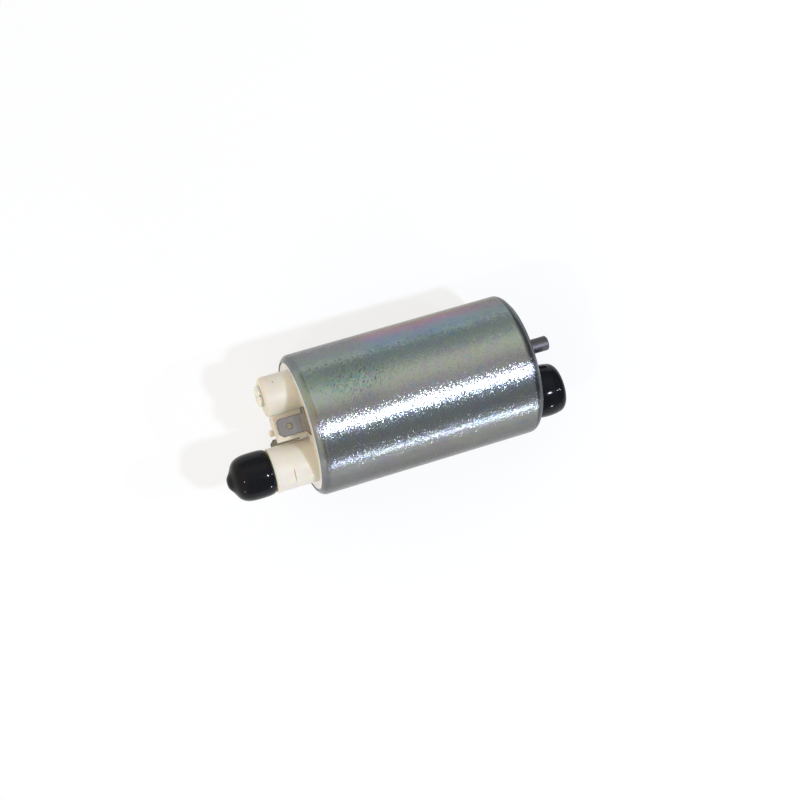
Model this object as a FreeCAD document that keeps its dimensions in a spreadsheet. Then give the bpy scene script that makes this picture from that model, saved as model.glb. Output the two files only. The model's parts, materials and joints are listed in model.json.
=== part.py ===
import FreeCAD, Part
import Sketcher
import math
import operator
import os

# Electric in-tank fuel pump, lying on its barrel.
# X runs along the pump from the inlet end to the outlet end and Z is up.
# The origin is on the pump's axis, half-way along the steel shell.
# Lengths are millimetres and angles are degrees.
# "across" is a place along Y and "up" is a place along Z.

SIZES = {
    # Steel shell, rolled in at both ends over the two covers
    "shell_diameter": 38.0,
    "shell_length": 61.5,
    "shell_wall": 1.2,
    "roll_radius": 2.0,
    "lip_reach": 1.55,
    "cover_fit": 0.05,

    # Outlet cover, one plastic moulding
    "face_depth": 0.65,
    "cover_disc": 3.4,
    "skirt_wall": 1.5,
    "bead_height": 0.2,
    "bead_width": 0.6,
    "root_fillet": 0.6,

    # Outlet post with the hose nipple on its end
    "outlet_angle": 14.85,
    "outlet_rim_gap": 2.14,
    "outlet_post_diameter": 11.9,
    "outlet_post_length": 11.6,
    "outlet_nipple_diameter": 7.8,
    "outlet_nipple_length": 7.8,
    "outlet_bore": 5.2,
    "barb_height": 0.45,
    "barb_length": 2.4,

    # Relief valve tower
    "tower_angle": 156.59,
    "tower_rim_gap": 1.48,
    "tower_diameter": 10.8,
    "tower_length": 8.9,
    "tower_rounding": 1.3,

    # Pillars between the terminals, with room for a connector under each blade
    "pillar_room": 3.4,
    "near_pillar_left": -4.6,
    "near_pillar_right": 2.6,
    "near_pillar_bottom": 2.8,
    "near_pillar_length": 8.0,
    "far_pillar_left": -4.3,
    "far_pillar_right": 0.55,
    "far_pillar_top": -3.5,
    "far_pillar_length": 8.0,
    "far_step_width": 1.75,
    "far_step_drop": 1.0,
    "pillar_rounding": 0.5,

    # Terminals, stamped from one sheet
    "blade_level": 9.4,
    "blade_sheet": 0.8,
    "blade_width": 4.8,
    "blade_tip": 8.0,
    "blade_hole": 1.4,
    "blade_hole_back": 3.2,
    "blade_corner": 1.2,
    "blade_chamfer": 1.0,
    "tee_height": 0.9,
    "tee_ear": 1.5,
    "tee_point": 1.5,
    "tail_width": 2.4,
    "tail_depth": 6.5,
    "slot_fit": 0.05,
    "blade_a_across": -0.85,
    "blade_b_across": 3.8,
    "tail_a_across": -0.85,
    "tail_b_across": 1.2,

    # Shaft and its bearings
    "shaft_diameter": 4.0,
    "shaft_flat_depth": 0.5,
    "shaft_chamfer": 0.3,
    "bush_diameter": 7.2,
    "bush_length": 4.9,
    "bush_fit": 0.02,
    "running_fit": 0.015,
    "bush_chamfer": 0.4,
    "washer_diameter": 6.2,
    "washer_sheet": 0.5,
    "washer_gap": 0.1,
    "shaft_end_room": 0.6,

    # Impeller and the two faces that it turns between
    "inlet_plate": 5.4,
    "inlet_stand_out": 0.4,
    "casing_wall": 2.65,
    "impeller_thickness": 3.8,
    "impeller_side_gap": 0.03,
    "impeller_rim_gap": 0.1,
    "vane_count": 31,
    "vane_rim": 2.0,
    "vane_pocket_radius": 1.6,
    "vane_pocket_width": 1.85,
    "flat_fit": 0.02,
    "balance_hole": 2.2,
    "balance_hole_radius": 6.5,
    "balance_hole_count": 3,
    "channel_radius": 1.9,
    "channel_angle": 310.0,
    "port_diameter": 3.8,
    "port_angle": 302.0,
    "vent_diameter": 1.2,
    "vent_angle": 150.0,

    # Pump casing behind the impeller
    "casing_plate": 3.6,
    "casing_boss_diameter": 10.4,
    "casing_boss_length": 3.3,
    "shaft_hole_clearance": 0.3,

    # Inlet cover
    "inlet_rim_gap": 0.35,
    "inlet_offset": 3.65,
    "inlet_nipple_diameter": 10.9,
    "inlet_nipple_length": 7.65,
    "inlet_bore": 8.5,
    "pin_across": -2.9,
    "pin_diameter": 4.0,
    "pin_length": 9.55,
    "pin_chamfer": 0.3,
    "button_depth": 3.5,
    "button_diameter": 5.0,
    "button_thickness": 1.2,
    "button_fit": 0.05,
    "button_gap": 0.05,

    # Armature
    "air_gap": 0.5,
    "slot_count": 8,
    "slot_mouth": 1.6,
    "tooth_width": 1.06,
    "pole_shoe": 1.1,
    "insulator_sheet": 0.8,
    "insulator_trim": 0.15,
    "winding_clearance": 0.35,
    "winding_overhang": 2.2,
    "winding_inner": 4.6,
    "winding_rim": 1.3,
    "winding_gap": 0.6,
    "winding_bevel": 0.7,

    # Commutator with a flat carbon face
    "commutator_diameter": 18.8,
    "commutator_hub_length": 2.1,
    "commutator_neck_diameter": 8.6,
    "carbon_thickness": 1.9,
    "carbon_fit": 0.02,
    "segment_count": 8,
    "segment_slot_width": 0.5,
    "segment_slot_depth": 1.3,

    # Magnets and the clips that spread them
    "magnet_thickness": 4.65,
    "magnet_angle": 140.0,
    "magnet_overhang": 2.5,
    "magnet_fit": 0.05,
    "magnet_end_gap": 0.3,
    "clip_sheet": 0.6,
    "clip_leg": 4.0,
    "clip_fit": 0.1,
    "clip_end_gap": 2.5,

    # Brushes, their guides, springs and leads
    "guide_depth": 14.2,
    "guide_gap": 1.8,
    "guide_half_width": 3.6,
    "hub_diameter": 10.0,
    "brush_rim": 0.8,
    "brush_height": 4.0,
    "brush_width": 5.0,
    "brush_length": 8.5,
    "brush_fit": 0.05,
    "brush_gap": 0.02,
    "brush_travel": 2.5,
    "brush_end_wall": 1.2,
    "spring_gap": 0.02,
    "brush_spring_radius": 1.6,
    "brush_spring_wire": 0.4,
    "brush_spring_turns": 4.5,
    "lead_wire": 0.8,
    "lead_back": 5.7,
    "lead_bend": 0.7,
    "lead_slot_room": 0.35,

    # Interference chokes in pockets of the outlet cover
    "choke_angle": 47.55,
    "choke_rim": 3.51,
    "choke_depth": 12.5,
    "choke_length": 8.6,
    "choke_flange_diameter": 5.2,
    "choke_flange": 1.2,
    "choke_core_diameter": 2.8,
    "choke_coil_diameter": 4.8,
    "choke_coil_fit": 0.05,
    "choke_pocket_fit": 0.1,
    "choke_pocket_wall": 0.7,

    # Ring seal round the outlet cover
    "seal_wire": 1.2,
    "seal_squash_room": 0.02,
    "seal_groove_width": 1.6,
    "seal_back": 2.6,

    # Check valve in the outlet post
    "chamber_diameter": 8.4,
    "chamber_top_wall": 2.2,
    "boss_wall": 1.5,
    "boss_depth": 1.0,
    "seat_length": 3.0,
    "seat_bore": 5.0,
    "seat_depth": 4.2,
    "seat_fit": 0.02,
    "poppet_gap": 0.03,
    "valve_disc_diameter": 6.6,
    "valve_disc_thickness": 0.8,
    "poppet_spigot_diameter": 2.4,
    "poppet_spigot_length": 1.6,
    "poppet_head_diameter": 6.2,
    "poppet_head_thickness": 0.8,
    "wing_length": 3.6,
    "wing_thickness": 0.7,
    "wing_fit": 0.1,
    "check_spring_radius": 2.9,
    "check_spring_wire": 0.45,
    "check_spring_turns": 3.0,

    # Relief valve in the tower
    "relief_offset": 0.7,
    "relief_bore": 4.6,
    "relief_seat_depth": 0.9,
    "relief_seat_bore": 2.4,
    "relief_boss_depth": 1.5,
    "relief_ball": 3.8,
    "ball_gap": 0.02,
    "relief_spring_radius": 1.45,
    "relief_spring_wire": 0.4,
    "relief_spring_turns": 2.5,
    "plug_head_diameter": 5.5,
    "plug_head_length": 1.1,
    "plug_shank_length": 2.5,
    "plug_fit": 0.02,
    "plug_vent": 1.4,
    "plug_side_vent": 0.5,
    "plug_rounding": 0.3,

    # Slip-on caps that close the two nipples in transit
    "outlet_cap_rim_diameter": 12.1,
    "outlet_cap_bulge_diameter": 12.5,
    "outlet_cap_length": 11.55,
    "outlet_cap_gap": 0.3,
    "outlet_cap_bulge_place": 4.1,
    "outlet_cap_shoulder_place": 5.7,
    "outlet_cap_nub_diameter": 4.6,
    "outlet_cap_nub_height": 0.5,
    "cap_fit": 0.05,
    "cap_end_gap": 0.3,
    "inlet_cap_diameter": 14.2,
    "inlet_cap_end_wall": 1.4,
    "inlet_cap_rim_gap": 0.9,
    "inlet_cap_rounding": 2.8,
}


# The sheet and the formulas on it

class Size:
    """A number, and the formula that gives the same number from the cells of the sheets."""

    def __init__(self, value, text):
        self.value = value
        self.text = text

    def __add__(self, other):
        return combined(self, "+", other)

    def __radd__(self, other):
        return combined(other, "+", self)

    def __sub__(self, other):
        return combined(self, "-", other)

    def __rsub__(self, other):
        return combined(other, "-", self)

    def __mul__(self, other):
        return combined(self, "*", other)

    def __rmul__(self, other):
        return combined(other, "*", self)

    def __truediv__(self, other):
        return combined(self, "/", other)

    def __rtruediv__(self, other):
        return combined(other, "/", self)

    def __neg__(self):
        return combined(0, "-", self)


OPERATIONS = {"+": operator.add, "-": operator.sub, "*": operator.mul, "/": operator.truediv}


def as_size(item):
    """The item itself if it is a Size, or a Size that holds a fixed number."""
    if isinstance(item, Size):
        return item
    return Size(item, f"({item})")


def combined(left, sign, right):
    """One Size worked out from two."""
    left = as_size(left)
    right = as_size(right)
    return Size(OPERATIONS[sign](left.value, right.value), f"({left.text} {sign} {right.text})")


def root(size):
    """Square root of a Size."""
    return Size(math.sqrt(size.value), f"sqrt{size.text}")


def leg(longest, other):
    """The third side of a right-angled triangle."""
    return root(longest * longest - other * other)


def cosine(angle):
    """Cosine of an angle in degrees."""
    return Size(math.cos(math.radians(angle.value)), f"cos({angle.text})")


def sine(angle):
    """Sine of an angle in degrees."""
    return Size(math.sin(math.radians(angle.value)), f"sin({angle.text})")


doc = FreeCAD.newDocument("FuelPump")
sizes_sheet = doc.addObject("Spreadsheet::Sheet", "Sizes")
places_sheet = doc.addObject("Spreadsheet::Sheet", "Places")


def fill_sizes():
    """Write every driving size to the sheet, one row each."""
    for row, (name, value) in enumerate(SIZES.items(), 1):
        sizes_sheet.set(f"A{row}", name)
        sizes_sheet.set(f"B{row}", str(value))
        sizes_sheet.setAlias(f"B{row}", name)


class Cells:
    """The driving sizes by name."""

    def __getattr__(self, name):
        return Size(SIZES[name], f"Sizes.{name}")


fill_sizes()
sizes = Cells()
place_names = []


def place(name, size):
    """Keep a worked-out size on the second sheet, under a name of its own."""
    place_names.append(name)
    row = len(place_names)
    places_sheet.set(f"A{row}", name)
    places_sheet.set(f"B{row}", "=" + as_size(size).text.replace("Places.", ""))
    places_sheet.setAlias(f"B{row}", name)
    return Size(as_size(size).value, f"Places.{name}")


# Places that several pieces share

shell_radius = place("shell_radius", sizes.shell_diameter / 2)
shell_bore = place("shell_bore", shell_radius - sizes.shell_wall)
shell_end = place("shell_end", sizes.shell_length / 2)
roll_core = sizes.roll_radius - sizes.lip_reach
roll_start = place("roll_start", shell_end - leg(sizes.roll_radius, roll_core))
lip_radius = place("lip_radius", shell_radius - sizes.lip_reach)
inner_roll = place("inner_roll", sizes.roll_radius - sizes.shell_wall)
inner_roll_end = place("inner_roll_end", roll_start + leg(inner_roll, roll_core))

# Both covers have a rounded shoulder that sits under the rolled lip
cover_radius = place("cover_radius", shell_bore - sizes.cover_fit)
shoulder_arc = place("shoulder_arc", inner_roll - sizes.cover_fit)
shoulder_radius = place("shoulder_radius", lip_radius - sizes.cover_fit)
shoulder_core = shoulder_radius - cover_radius + shoulder_arc
shoulder_end = place("shoulder_end", roll_start + leg(shoulder_arc, shoulder_core))

face = place("face", shell_end - sizes.face_depth)
disc_inner = place("disc_inner", face - sizes.cover_disc)
skirt_inner = place("skirt_inner", cover_radius - sizes.skirt_wall)

# The stack of the pump section, from the inlet cover inwards
pump_face = place("pump_face", sizes.inlet_plate - shell_end)
impeller_start = place("impeller_start", pump_face + sizes.impeller_side_gap)
impeller_end = place("impeller_end", impeller_start + sizes.impeller_thickness)
casing_face = place("casing_face", impeller_end + sizes.impeller_side_gap)
casing_back = place("casing_back", casing_face + sizes.casing_plate)
boss_end = place("boss_end", casing_back + sizes.casing_boss_length)
chamber_radius = place("chamber_radius", cover_radius - sizes.casing_wall)
impeller_radius = place("impeller_radius", chamber_radius - sizes.impeller_rim_gap)
vane_circle = place("vane_circle", impeller_radius - sizes.vane_rim)
inlet_face = place("inlet_face", -shell_end - sizes.inlet_stand_out)
inlet_across = place("inlet_across", vane_circle - sizes.inlet_offset)

# The magnets lie against the shell's bore, and the armature turns between them
magnet_outer = place("magnet_outer", shell_bore - sizes.magnet_fit)
magnet_inner = place("magnet_inner", magnet_outer - sizes.magnet_thickness)
core_radius = place("core_radius", magnet_inner - sizes.air_gap)
slot_share = place("slot_share", sine(180 / sizes.slot_count))
slot_bottom = core_radius - sizes.pole_shoe + sizes.tooth_width / 2
slot_circle = place("slot_circle", slot_bottom / (1 + slot_share))
slot_radius = place("slot_radius", slot_circle * slot_share - sizes.tooth_width / 2)
winding_outer = place("winding_outer", core_radius - sizes.winding_rim)

# The armature fills the length between the casing's boss and the brush guides
guide_start = place("guide_start", face - sizes.guide_depth)
carbon_end = place("carbon_end", guide_start - sizes.guide_gap)
carbon_start = place("carbon_start", carbon_end - sizes.carbon_thickness)
commutator_start = place("commutator_start", carbon_start - sizes.commutator_hub_length)
winding_end = place("winding_end", commutator_start - sizes.washer_gap)
winding_start = place("winding_start", boss_end + sizes.winding_gap)
core_start = place("core_start", winding_start + sizes.winding_overhang + sizes.insulator_sheet)
core_end = place("core_end", winding_end - sizes.winding_overhang - sizes.insulator_sheet)
magnet_start = place("magnet_start", core_start - sizes.magnet_overhang)
magnet_end = place("magnet_end", core_end + sizes.magnet_overhang)

# The shaft runs from the thrust button to the closed bearing pocket
shaft_radius = place("shaft_radius", sizes.shaft_diameter / 2)
bush_radius = place("bush_radius", sizes.bush_diameter / 2)
front_bush_end = place("front_bush_end", boss_end - sizes.washer_gap)
front_bush_start = place("front_bush_start", front_bush_end - sizes.bush_length)
rear_bush_start = place("rear_bush_start", guide_start + sizes.washer_gap)
rear_bush_end = place("rear_bush_end", rear_bush_start + sizes.bush_length)
shaft_end = place("shaft_end", rear_bush_end + sizes.shaft_end_room)
button_seat = place("button_seat", pump_face - sizes.button_depth)
button_face = place("button_face", button_seat + sizes.button_thickness)
shaft_start = place("shaft_start", button_face + sizes.button_gap)

# The brushes
brush_start = place("brush_start", carbon_end + sizes.brush_gap)
brush_end = place("brush_end", brush_start + sizes.brush_length)
brush_pocket_end = place("brush_pocket_end", face - sizes.brush_end_wall)
brush_outer = place("brush_outer", sizes.commutator_diameter / 2 - sizes.brush_rim)
brush_inner = place("brush_inner", brush_outer - sizes.brush_height)
brush_middle = place("brush_middle", brush_outer - sizes.brush_height / 2)
lead_start = place("lead_start", brush_start + sizes.lead_back)
tail_end = place("tail_end", face - sizes.tail_depth)
guide_outer = place("guide_outer", sizes.blade_level - sizes.slot_fit)

# The chokes hang under the cover, one each side
choke_start = place("choke_start", face - sizes.choke_depth)
choke_place = place("choke_place", skirt_inner - sizes.choke_rim)
choke_across = place("choke_across", choke_place * cosine(sizes.choke_angle))
choke_up = place("choke_up", -choke_place * sine(sizes.choke_angle))

# The outlet post
post_radius = place("post_radius", sizes.outlet_post_diameter / 2)
outlet_place = place("outlet_place", lip_radius - sizes.outlet_rim_gap - post_radius)
outlet_across = place("outlet_across", outlet_place * cosine(sizes.outlet_angle))
outlet_up = place("outlet_up", outlet_place * sine(sizes.outlet_angle))
post_end = place("post_end", face + sizes.outlet_post_length)
nipple_end = place("nipple_end", post_end + sizes.outlet_nipple_length)
chamber_end = place("chamber_end", post_end - sizes.chamber_top_wall)
chamber = place("chamber", sizes.chamber_diameter / 2)
seat_start = place("seat_start", face - sizes.seat_depth)
seat_end = place("seat_end", seat_start + sizes.seat_length)
valve_disc_start = place("valve_disc_start", seat_end + sizes.poppet_gap)
poppet_start = place("poppet_start", valve_disc_start + sizes.valve_disc_thickness)
wing_start = place("wing_start", poppet_start + sizes.poppet_head_thickness)
wing_end = place("wing_end", wing_start + sizes.wing_length)

# The tower and the relief valve in it
tower_radius = place("tower_radius", sizes.tower_diameter / 2)
tower_place = place("tower_place", lip_radius - sizes.tower_rim_gap - tower_radius)
tower_across = place("tower_across", tower_place * cosine(sizes.tower_angle))
tower_up = place("tower_up", tower_place * sine(sizes.tower_angle))
relief_across = place("relief_across", tower_across - sizes.relief_offset)
tower_end = place("tower_end", face + sizes.tower_length)
ball_radius = place("ball_radius", sizes.relief_ball / 2)
relief_seat = place("relief_seat", face - sizes.relief_seat_depth)
ball_rise = leg(ball_radius, sizes.relief_seat_bore / 2)
ball_place = place("ball_place", relief_seat + sizes.ball_gap + ball_rise)

# The inlet side
inlet_nipple_end = place("inlet_nipple_end", inlet_face - sizes.inlet_nipple_length)


# Ways to make and bind the shapes

NODES = []
ALONG_X = FreeCAD.Rotation(FreeCAD.Vector(0, 1, 0), 90)


def bind(item, prop, size):
    """Tie one property to its formula."""
    item.setExpression(prop, as_size(size).text)


def put(item, x=0, across=0, up=0):
    """Tie the place of an object to its formulas."""
    bind(item, "Placement.Base.x", x)
    bind(item, "Placement.Base.y", across)
    bind(item, "Placement.Base.z", up)


def finished(item, name):
    """Name an object as a sub-part of the pump."""
    item.Label = name
    NODES.append(item)
    return item


def rod(name, diameter, start, end, across=0, up=0):
    """A round bar along X."""
    item = doc.addObject("Part::Cylinder", name)
    item.Placement = FreeCAD.Placement(FreeCAD.Vector(), ALONG_X)
    bind(item, "Radius", as_size(diameter) / 2)
    bind(item, "Height", as_size(end) - start)
    put(item, start, across, up)
    return item


def upright(name, diameter, x, across, bottom, top):
    """A round bar along Z."""
    item = doc.addObject("Part::Cylinder", name)
    bind(item, "Radius", as_size(diameter) / 2)
    bind(item, "Height", as_size(top) - bottom)
    put(item, x, across, bottom)
    return item


def block(name, start, end, left, right, bottom, top):
    """A box between two places along each axis."""
    item = doc.addObject("Part::Box", name)
    bind(item, "Length", as_size(end) - start)
    bind(item, "Width", as_size(right) - left)
    bind(item, "Height", as_size(top) - bottom)
    put(item, start, left, bottom)
    return item


def joined(name, pieces):
    """Several shapes as one."""
    item = doc.addObject("Part::MultiFuse", name)
    item.Shapes = pieces
    item.Refine = True
    return item


def without(name, base, tools):
    """A shape with others cut from it."""
    item = doc.addObject("Part::Cut", name)
    item.Base = base
    item.Tool = tools[0] if len(tools) == 1 else joined(name + "_tools", tools)
    return item


def shared(name, first, second):
    """What two shapes have in common."""
    item = doc.addObject("Part::Common", name)
    item.Base = first
    item.Tool = second
    return item


def new_body(name, x=0, across=0, up=0):
    """An empty body at its place."""
    body = doc.addObject("PartDesign::Body", name)
    put(body, x, across, up)
    return body


def sketch_on(body, plane, name, lift=0):
    """A sketch on one of the body's own planes, lifted off it along its normal."""
    sketch = body.newObject("Sketcher::SketchObject", name)
    support = [item for item in body.Origin.OriginFeatures if item.Role == plane]
    sketch.AttachmentSupport = (support[0], [""])
    sketch.MapMode = "FlatFace"
    bind(sketch, "AttachmentOffset.Base.z", lift)
    return sketch


def arc_between(first, last, radius, turn):
    """An arc of under a half circle, and which of its ends comes first."""
    chord = last - first
    middle = (first + last) * 0.5
    rise = math.sqrt(max(radius * radius - chord.Length * chord.Length / 4, 0))
    left = FreeCAD.Vector(-chord.y, chord.x, 0).normalize()
    centre = middle + left * (rise if turn == "left" else -rise)
    starts = [math.atan2(item.y - centre.y, item.x - centre.x) for item in (first, last)]
    if turn == "right":
        starts.reverse()
    if starts[1] < starts[0]:
        starts[1] += 2 * math.pi
    circle = Part.Circle(centre, FreeCAD.Vector(0, 0, 1), radius)
    ends = (1, 2) if turn == "left" else (2, 1)
    return Part.ArcOfCircle(circle, starts[0], starts[1]), ends


def outline(sketch, corners):
    """Draw a closed outline. A corner is (u, v), and (u, v, turn, radius) starts an arc to the next one."""
    first_edge = sketch.GeometryCount
    spots = [FreeCAD.Vector(as_size(item[0]).value, as_size(item[1]).value, 0) for item in corners]
    edge_ends = []
    formulas = []
    rules = []
    for index, corner in enumerate(corners):
        begin = spots[index]
        finish = spots[(index + 1) % len(corners)]
        edge = first_edge + index
        if len(corner) == 4:
            curve, ends = arc_between(begin, finish, as_size(corner[3]).value, corner[2])
            rules.append(Sketcher.Constraint("Radius", edge, as_size(corner[3]).value))
            formulas.append(corner[3])
        else:
            curve, ends = Part.LineSegment(begin, finish), (1, 2)
        sketch.addGeometry(curve, False)
        edge_ends.append(ends)
        rules.append(Sketcher.Constraint("DistanceX", -1, 1, edge, ends[0], begin.x))
        rules.append(Sketcher.Constraint("DistanceY", -1, 1, edge, ends[0], begin.y))
        formulas += [corner[0], corner[1]]
    first_rule = sketch.ConstraintCount
    for index in range(len(corners)):
        following = (index + 1) % len(corners)
        rules.append(Sketcher.Constraint("Coincident", first_edge + index, edge_ends[index][1],
                                         first_edge + following, edge_ends[following][0]))
    sketch.addConstraint(rules)
    for index, formula in enumerate(formulas):
        bind(sketch, f"Constraints[{first_rule + index}]", formula)


def circle(sketch, across, along, diameter):
    """Draw a full circle in a sketch."""
    edge = sketch.GeometryCount
    centre = FreeCAD.Vector(as_size(across).value, as_size(along).value, 0)
    radius = as_size(diameter) / 2
    sketch.addGeometry(Part.Circle(centre, FreeCAD.Vector(0, 0, 1), radius.value), False)
    first_rule = sketch.ConstraintCount
    rules = [Sketcher.Constraint("Radius", edge, radius.value),
             Sketcher.Constraint("DistanceX", -1, 1, edge, 3, centre.x),
             Sketcher.Constraint("DistanceY", -1, 1, edge, 3, centre.y)]
    sketch.addConstraint(rules)
    for index, formula in enumerate([radius, across, along]):
        bind(sketch, f"Constraints[{first_rule + index}]", formula)


def turned(name, corners, across=0, up=0):
    """A body turned about its own X axis from an outline of (x, radius) corners."""
    body = new_body(name, 0, across, up)
    sketch = sketch_on(body, "XY_Plane", name + "_outline")
    outline(sketch, corners)
    turning = body.newObject("PartDesign::Revolution", name + "_turning")
    turning.Profile = sketch
    turning.ReferenceAxis = (sketch, ["H_Axis"])
    turning.Angle = 360
    return body


def padded(body, sketch, name, length):
    """Raise a sketch into a solid."""
    pad = body.newObject("PartDesign::Pad", name)
    pad.Profile = sketch
    bind(pad, "Length", length)
    return pad


def pocketed(body, sketch, name, length, side="Symmetric"):
    """Cut a sketch out of the body."""
    pocket = body.newObject("PartDesign::Pocket", name)
    pocket.Profile = sketch
    pocket.SideType = side
    bind(pocket, "Length", length)
    return pocket


def repeated(body, feature, name, count, axis):
    """Repeat a feature round the body's axis."""
    pattern = body.newObject("PartDesign::PolarPattern", name)
    pattern.Originals = feature
    pattern.Axis = axis
    pattern.Angle = 360
    bind(pattern, "Occurrences", count)
    body.Tip = pattern
    return pattern


def pillar(name, start, end, left, right, bottom, top, rounding):
    """A post along X with a rectangular section and rounded corners."""
    body = new_body(name)
    sketch = sketch_on(body, "YZ_Plane", name + "_outline", start)
    outline(sketch, [
        (left + rounding, bottom),
        (right - rounding, bottom, "left", rounding),
        (right, bottom + rounding),
        (right, top - rounding, "left", rounding),
        (right - rounding, top),
        (left + rounding, top, "left", rounding),
        (left, top - rounding),
        (left, bottom + rounding, "left", rounding),
    ])
    padded(body, sketch, name + "_pad", as_size(end) - start)
    return body


def smooth_arcs(first, first_way, last, last_way):
    """Two arcs that leave one point, meet smoothly and reach another along the given ways."""
    gap = last - first
    both = first_way + last_way
    spread = 2 * (1 - first_way.dot(last_way))
    reach = (math.sqrt(gap.dot(both) ** 2 + spread * gap.dot(gap)) - gap.dot(both)) / spread
    meeting = (first + last + (first_way - last_way) * reach) * 0.5
    return [arc_along(first, meeting, first_way), arc_along(meeting, last, last_way, True)]


def arc_along(first, last, way, at_end=False):
    """The arc between two points that follows a way at its start, or at its end."""
    chord = last - first
    lean = way - chord * (way.dot(chord) / chord.dot(chord))
    angle = way.getAngle(chord)
    rise = lean.normalize() * (chord.Length / 2 * math.tan(angle / 2))
    middle = (first + last) * 0.5 + (rise * -1 if at_end else rise)
    return Part.Arc(first, middle, last).toShape()


def coil_point(radius, start, end, turns, share):
    """A point on a coil about X, and the way that the coil runs there."""
    angle = 2 * math.pi * turns * share
    along = start + (end - start) * share
    point = FreeCAD.Vector(along, radius * math.cos(angle), radius * math.sin(angle))
    sweep = 2 * math.pi * turns
    way = FreeCAD.Vector(end - start, -radius * sweep * math.sin(angle), radius * sweep * math.cos(angle))
    return point, way.normalize()


def coil_shape(radius, wire, start, end, turns):
    """A round wire wound into an open coil about X, between the outer faces start and end."""
    low = start + wire / 2
    high = end - wire / 2
    steps = max(round(turns * 2), 2)
    spots = [coil_point(radius, low, high, turns, index / steps) for index in range(steps + 1)]
    edges = []
    for (first, first_way), (last, last_way) in zip(spots, spots[1:]):
        edges += smooth_arcs(first, first_way, last, last_way)
    path = Part.Wire(edges)
    section = Part.Wire(Part.Circle(spots[0][0], spots[0][1], wire / 2).toShape())
    return path.makePipeShell([section], True, False)


def least_gap(radius, wire, start, end, turns):
    """The least clear space from one turn of a coil to the next, measured on points along it."""
    per_turn = 36
    steps = int(turns * per_turn)
    spots = [coil_point(radius, start + wire / 2, end - wire / 2, turns, index / steps)[0]
             for index in range(steps + 1)]
    gaps = [first.distanceToPoint(second) - wire for index, first in enumerate(spots)
            for second in spots[index + per_turn // 2:]]
    return min(gaps)


def spring(name, radius, wire, start, end, turns, across=0, up=0):
    """A coil spring as a sub-part."""
    item = doc.addObject("Part::Feature", name)
    numbers = [as_size(value).value for value in (radius, wire, start, end, turns)]
    item.Shape = coil_shape(*numbers)
    put(item, 0, across, up)
    print(f"{name}: least gap between turns {least_gap(*numbers):.2f} mm")
    return finished(item, name)


# Shell

def make_shell():
    """A steel tube whose two ends are rolled in over the covers."""
    return finished(turned("shell", [
        (-roll_start, shell_radius),
        (roll_start, shell_radius, "right", sizes.roll_radius),
        (shell_end, lip_radius),
        (inner_roll_end, lip_radius, "left", inner_roll),
        (roll_start, shell_bore),
        (-roll_start, shell_bore, "left", inner_roll),
        (-inner_roll_end, lip_radius),
        (-shell_end, lip_radius, "right", sizes.roll_radius),
    ]), "shell")


# Outlet cover

def outlet_cover_base():
    """The cover's disc with its rim bead, and the skirt that reaches down to the magnets."""
    skirt_end = magnet_end + sizes.magnet_end_gap
    groove_end = face - sizes.seal_back + sizes.seal_groove_width / 2
    groove_start = face - sizes.seal_back - sizes.seal_groove_width / 2
    groove_floor = shell_bore - sizes.seal_wire - sizes.cover_fit
    return turned("cover_base", [
        (disc_inner, 0),
        (disc_inner, skirt_inner),
        (skirt_end, skirt_inner),
        (skirt_end, cover_radius),
        (groove_start, cover_radius),
        (groove_start, groove_floor),
        (groove_end, groove_floor),
        (groove_end, cover_radius),
        (roll_start, cover_radius, "right", shoulder_arc),
        (shoulder_end, shoulder_radius),
        (face + sizes.bead_height, shoulder_radius),
        (face + sizes.bead_height, shoulder_radius - sizes.bead_width),
        (face, shoulder_radius - sizes.bead_width),
        (face, 0),
    ])


def outlet_post():
    """The round post, the stepped-down nipple on its end and the barb that holds a hose."""
    nipple = sizes.outlet_nipple_diameter / 2
    barb_top = nipple_end - sizes.barb_length
    return turned("cover_outlet_post", [
        (disc_inner, 0),
        (disc_inner, chamber + sizes.boss_wall),
        (face, chamber + sizes.boss_wall),
        (face, post_radius + sizes.root_fillet, "left", sizes.root_fillet),
        (face + sizes.root_fillet, post_radius),
        (post_end - sizes.pillar_rounding, post_radius, "right", sizes.pillar_rounding),
        (post_end, post_radius - sizes.pillar_rounding),
        (post_end, nipple),
        (barb_top, nipple),
        (barb_top, nipple + sizes.barb_height),
        (nipple_end, nipple - sizes.barb_height),
        (nipple_end, 0),
    ], outlet_across, outlet_up)


def relief_tower():
    """The round tower with a well rounded end that holds the relief valve."""
    return turned("cover_tower", [
        (disc_inner, 0),
        (disc_inner, tower_radius),
        (face, tower_radius),
        (face, tower_radius + sizes.root_fillet, "left", sizes.root_fillet),
        (face + sizes.root_fillet, tower_radius),
        (tower_end - sizes.tower_rounding, tower_radius, "right", sizes.tower_rounding),
        (tower_end, tower_radius - sizes.tower_rounding),
        (tower_end, 0),
    ], tower_across, tower_up)


def outlet_cover_pillars():
    """The two pillars between the terminals, which steer a connector onto them. The far one has a step."""
    level = sizes.blade_level - sizes.pillar_room
    step_left = sizes.far_pillar_right - sizes.far_step_width
    return [
        pillar("cover_near_pillar", disc_inner, face + sizes.near_pillar_length,
               sizes.near_pillar_left, sizes.near_pillar_right, sizes.near_pillar_bottom, level,
               sizes.pillar_rounding),
        pillar("cover_far_pillar", disc_inner, face + sizes.far_pillar_length - sizes.far_step_drop,
               sizes.far_pillar_left, sizes.far_pillar_right, -level, sizes.far_pillar_top,
               sizes.pillar_rounding),
        pillar("cover_far_step", disc_inner, face + sizes.far_pillar_length,
               step_left, sizes.far_pillar_right, -level, sizes.far_pillar_top,
               sizes.pillar_rounding),
    ]


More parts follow.
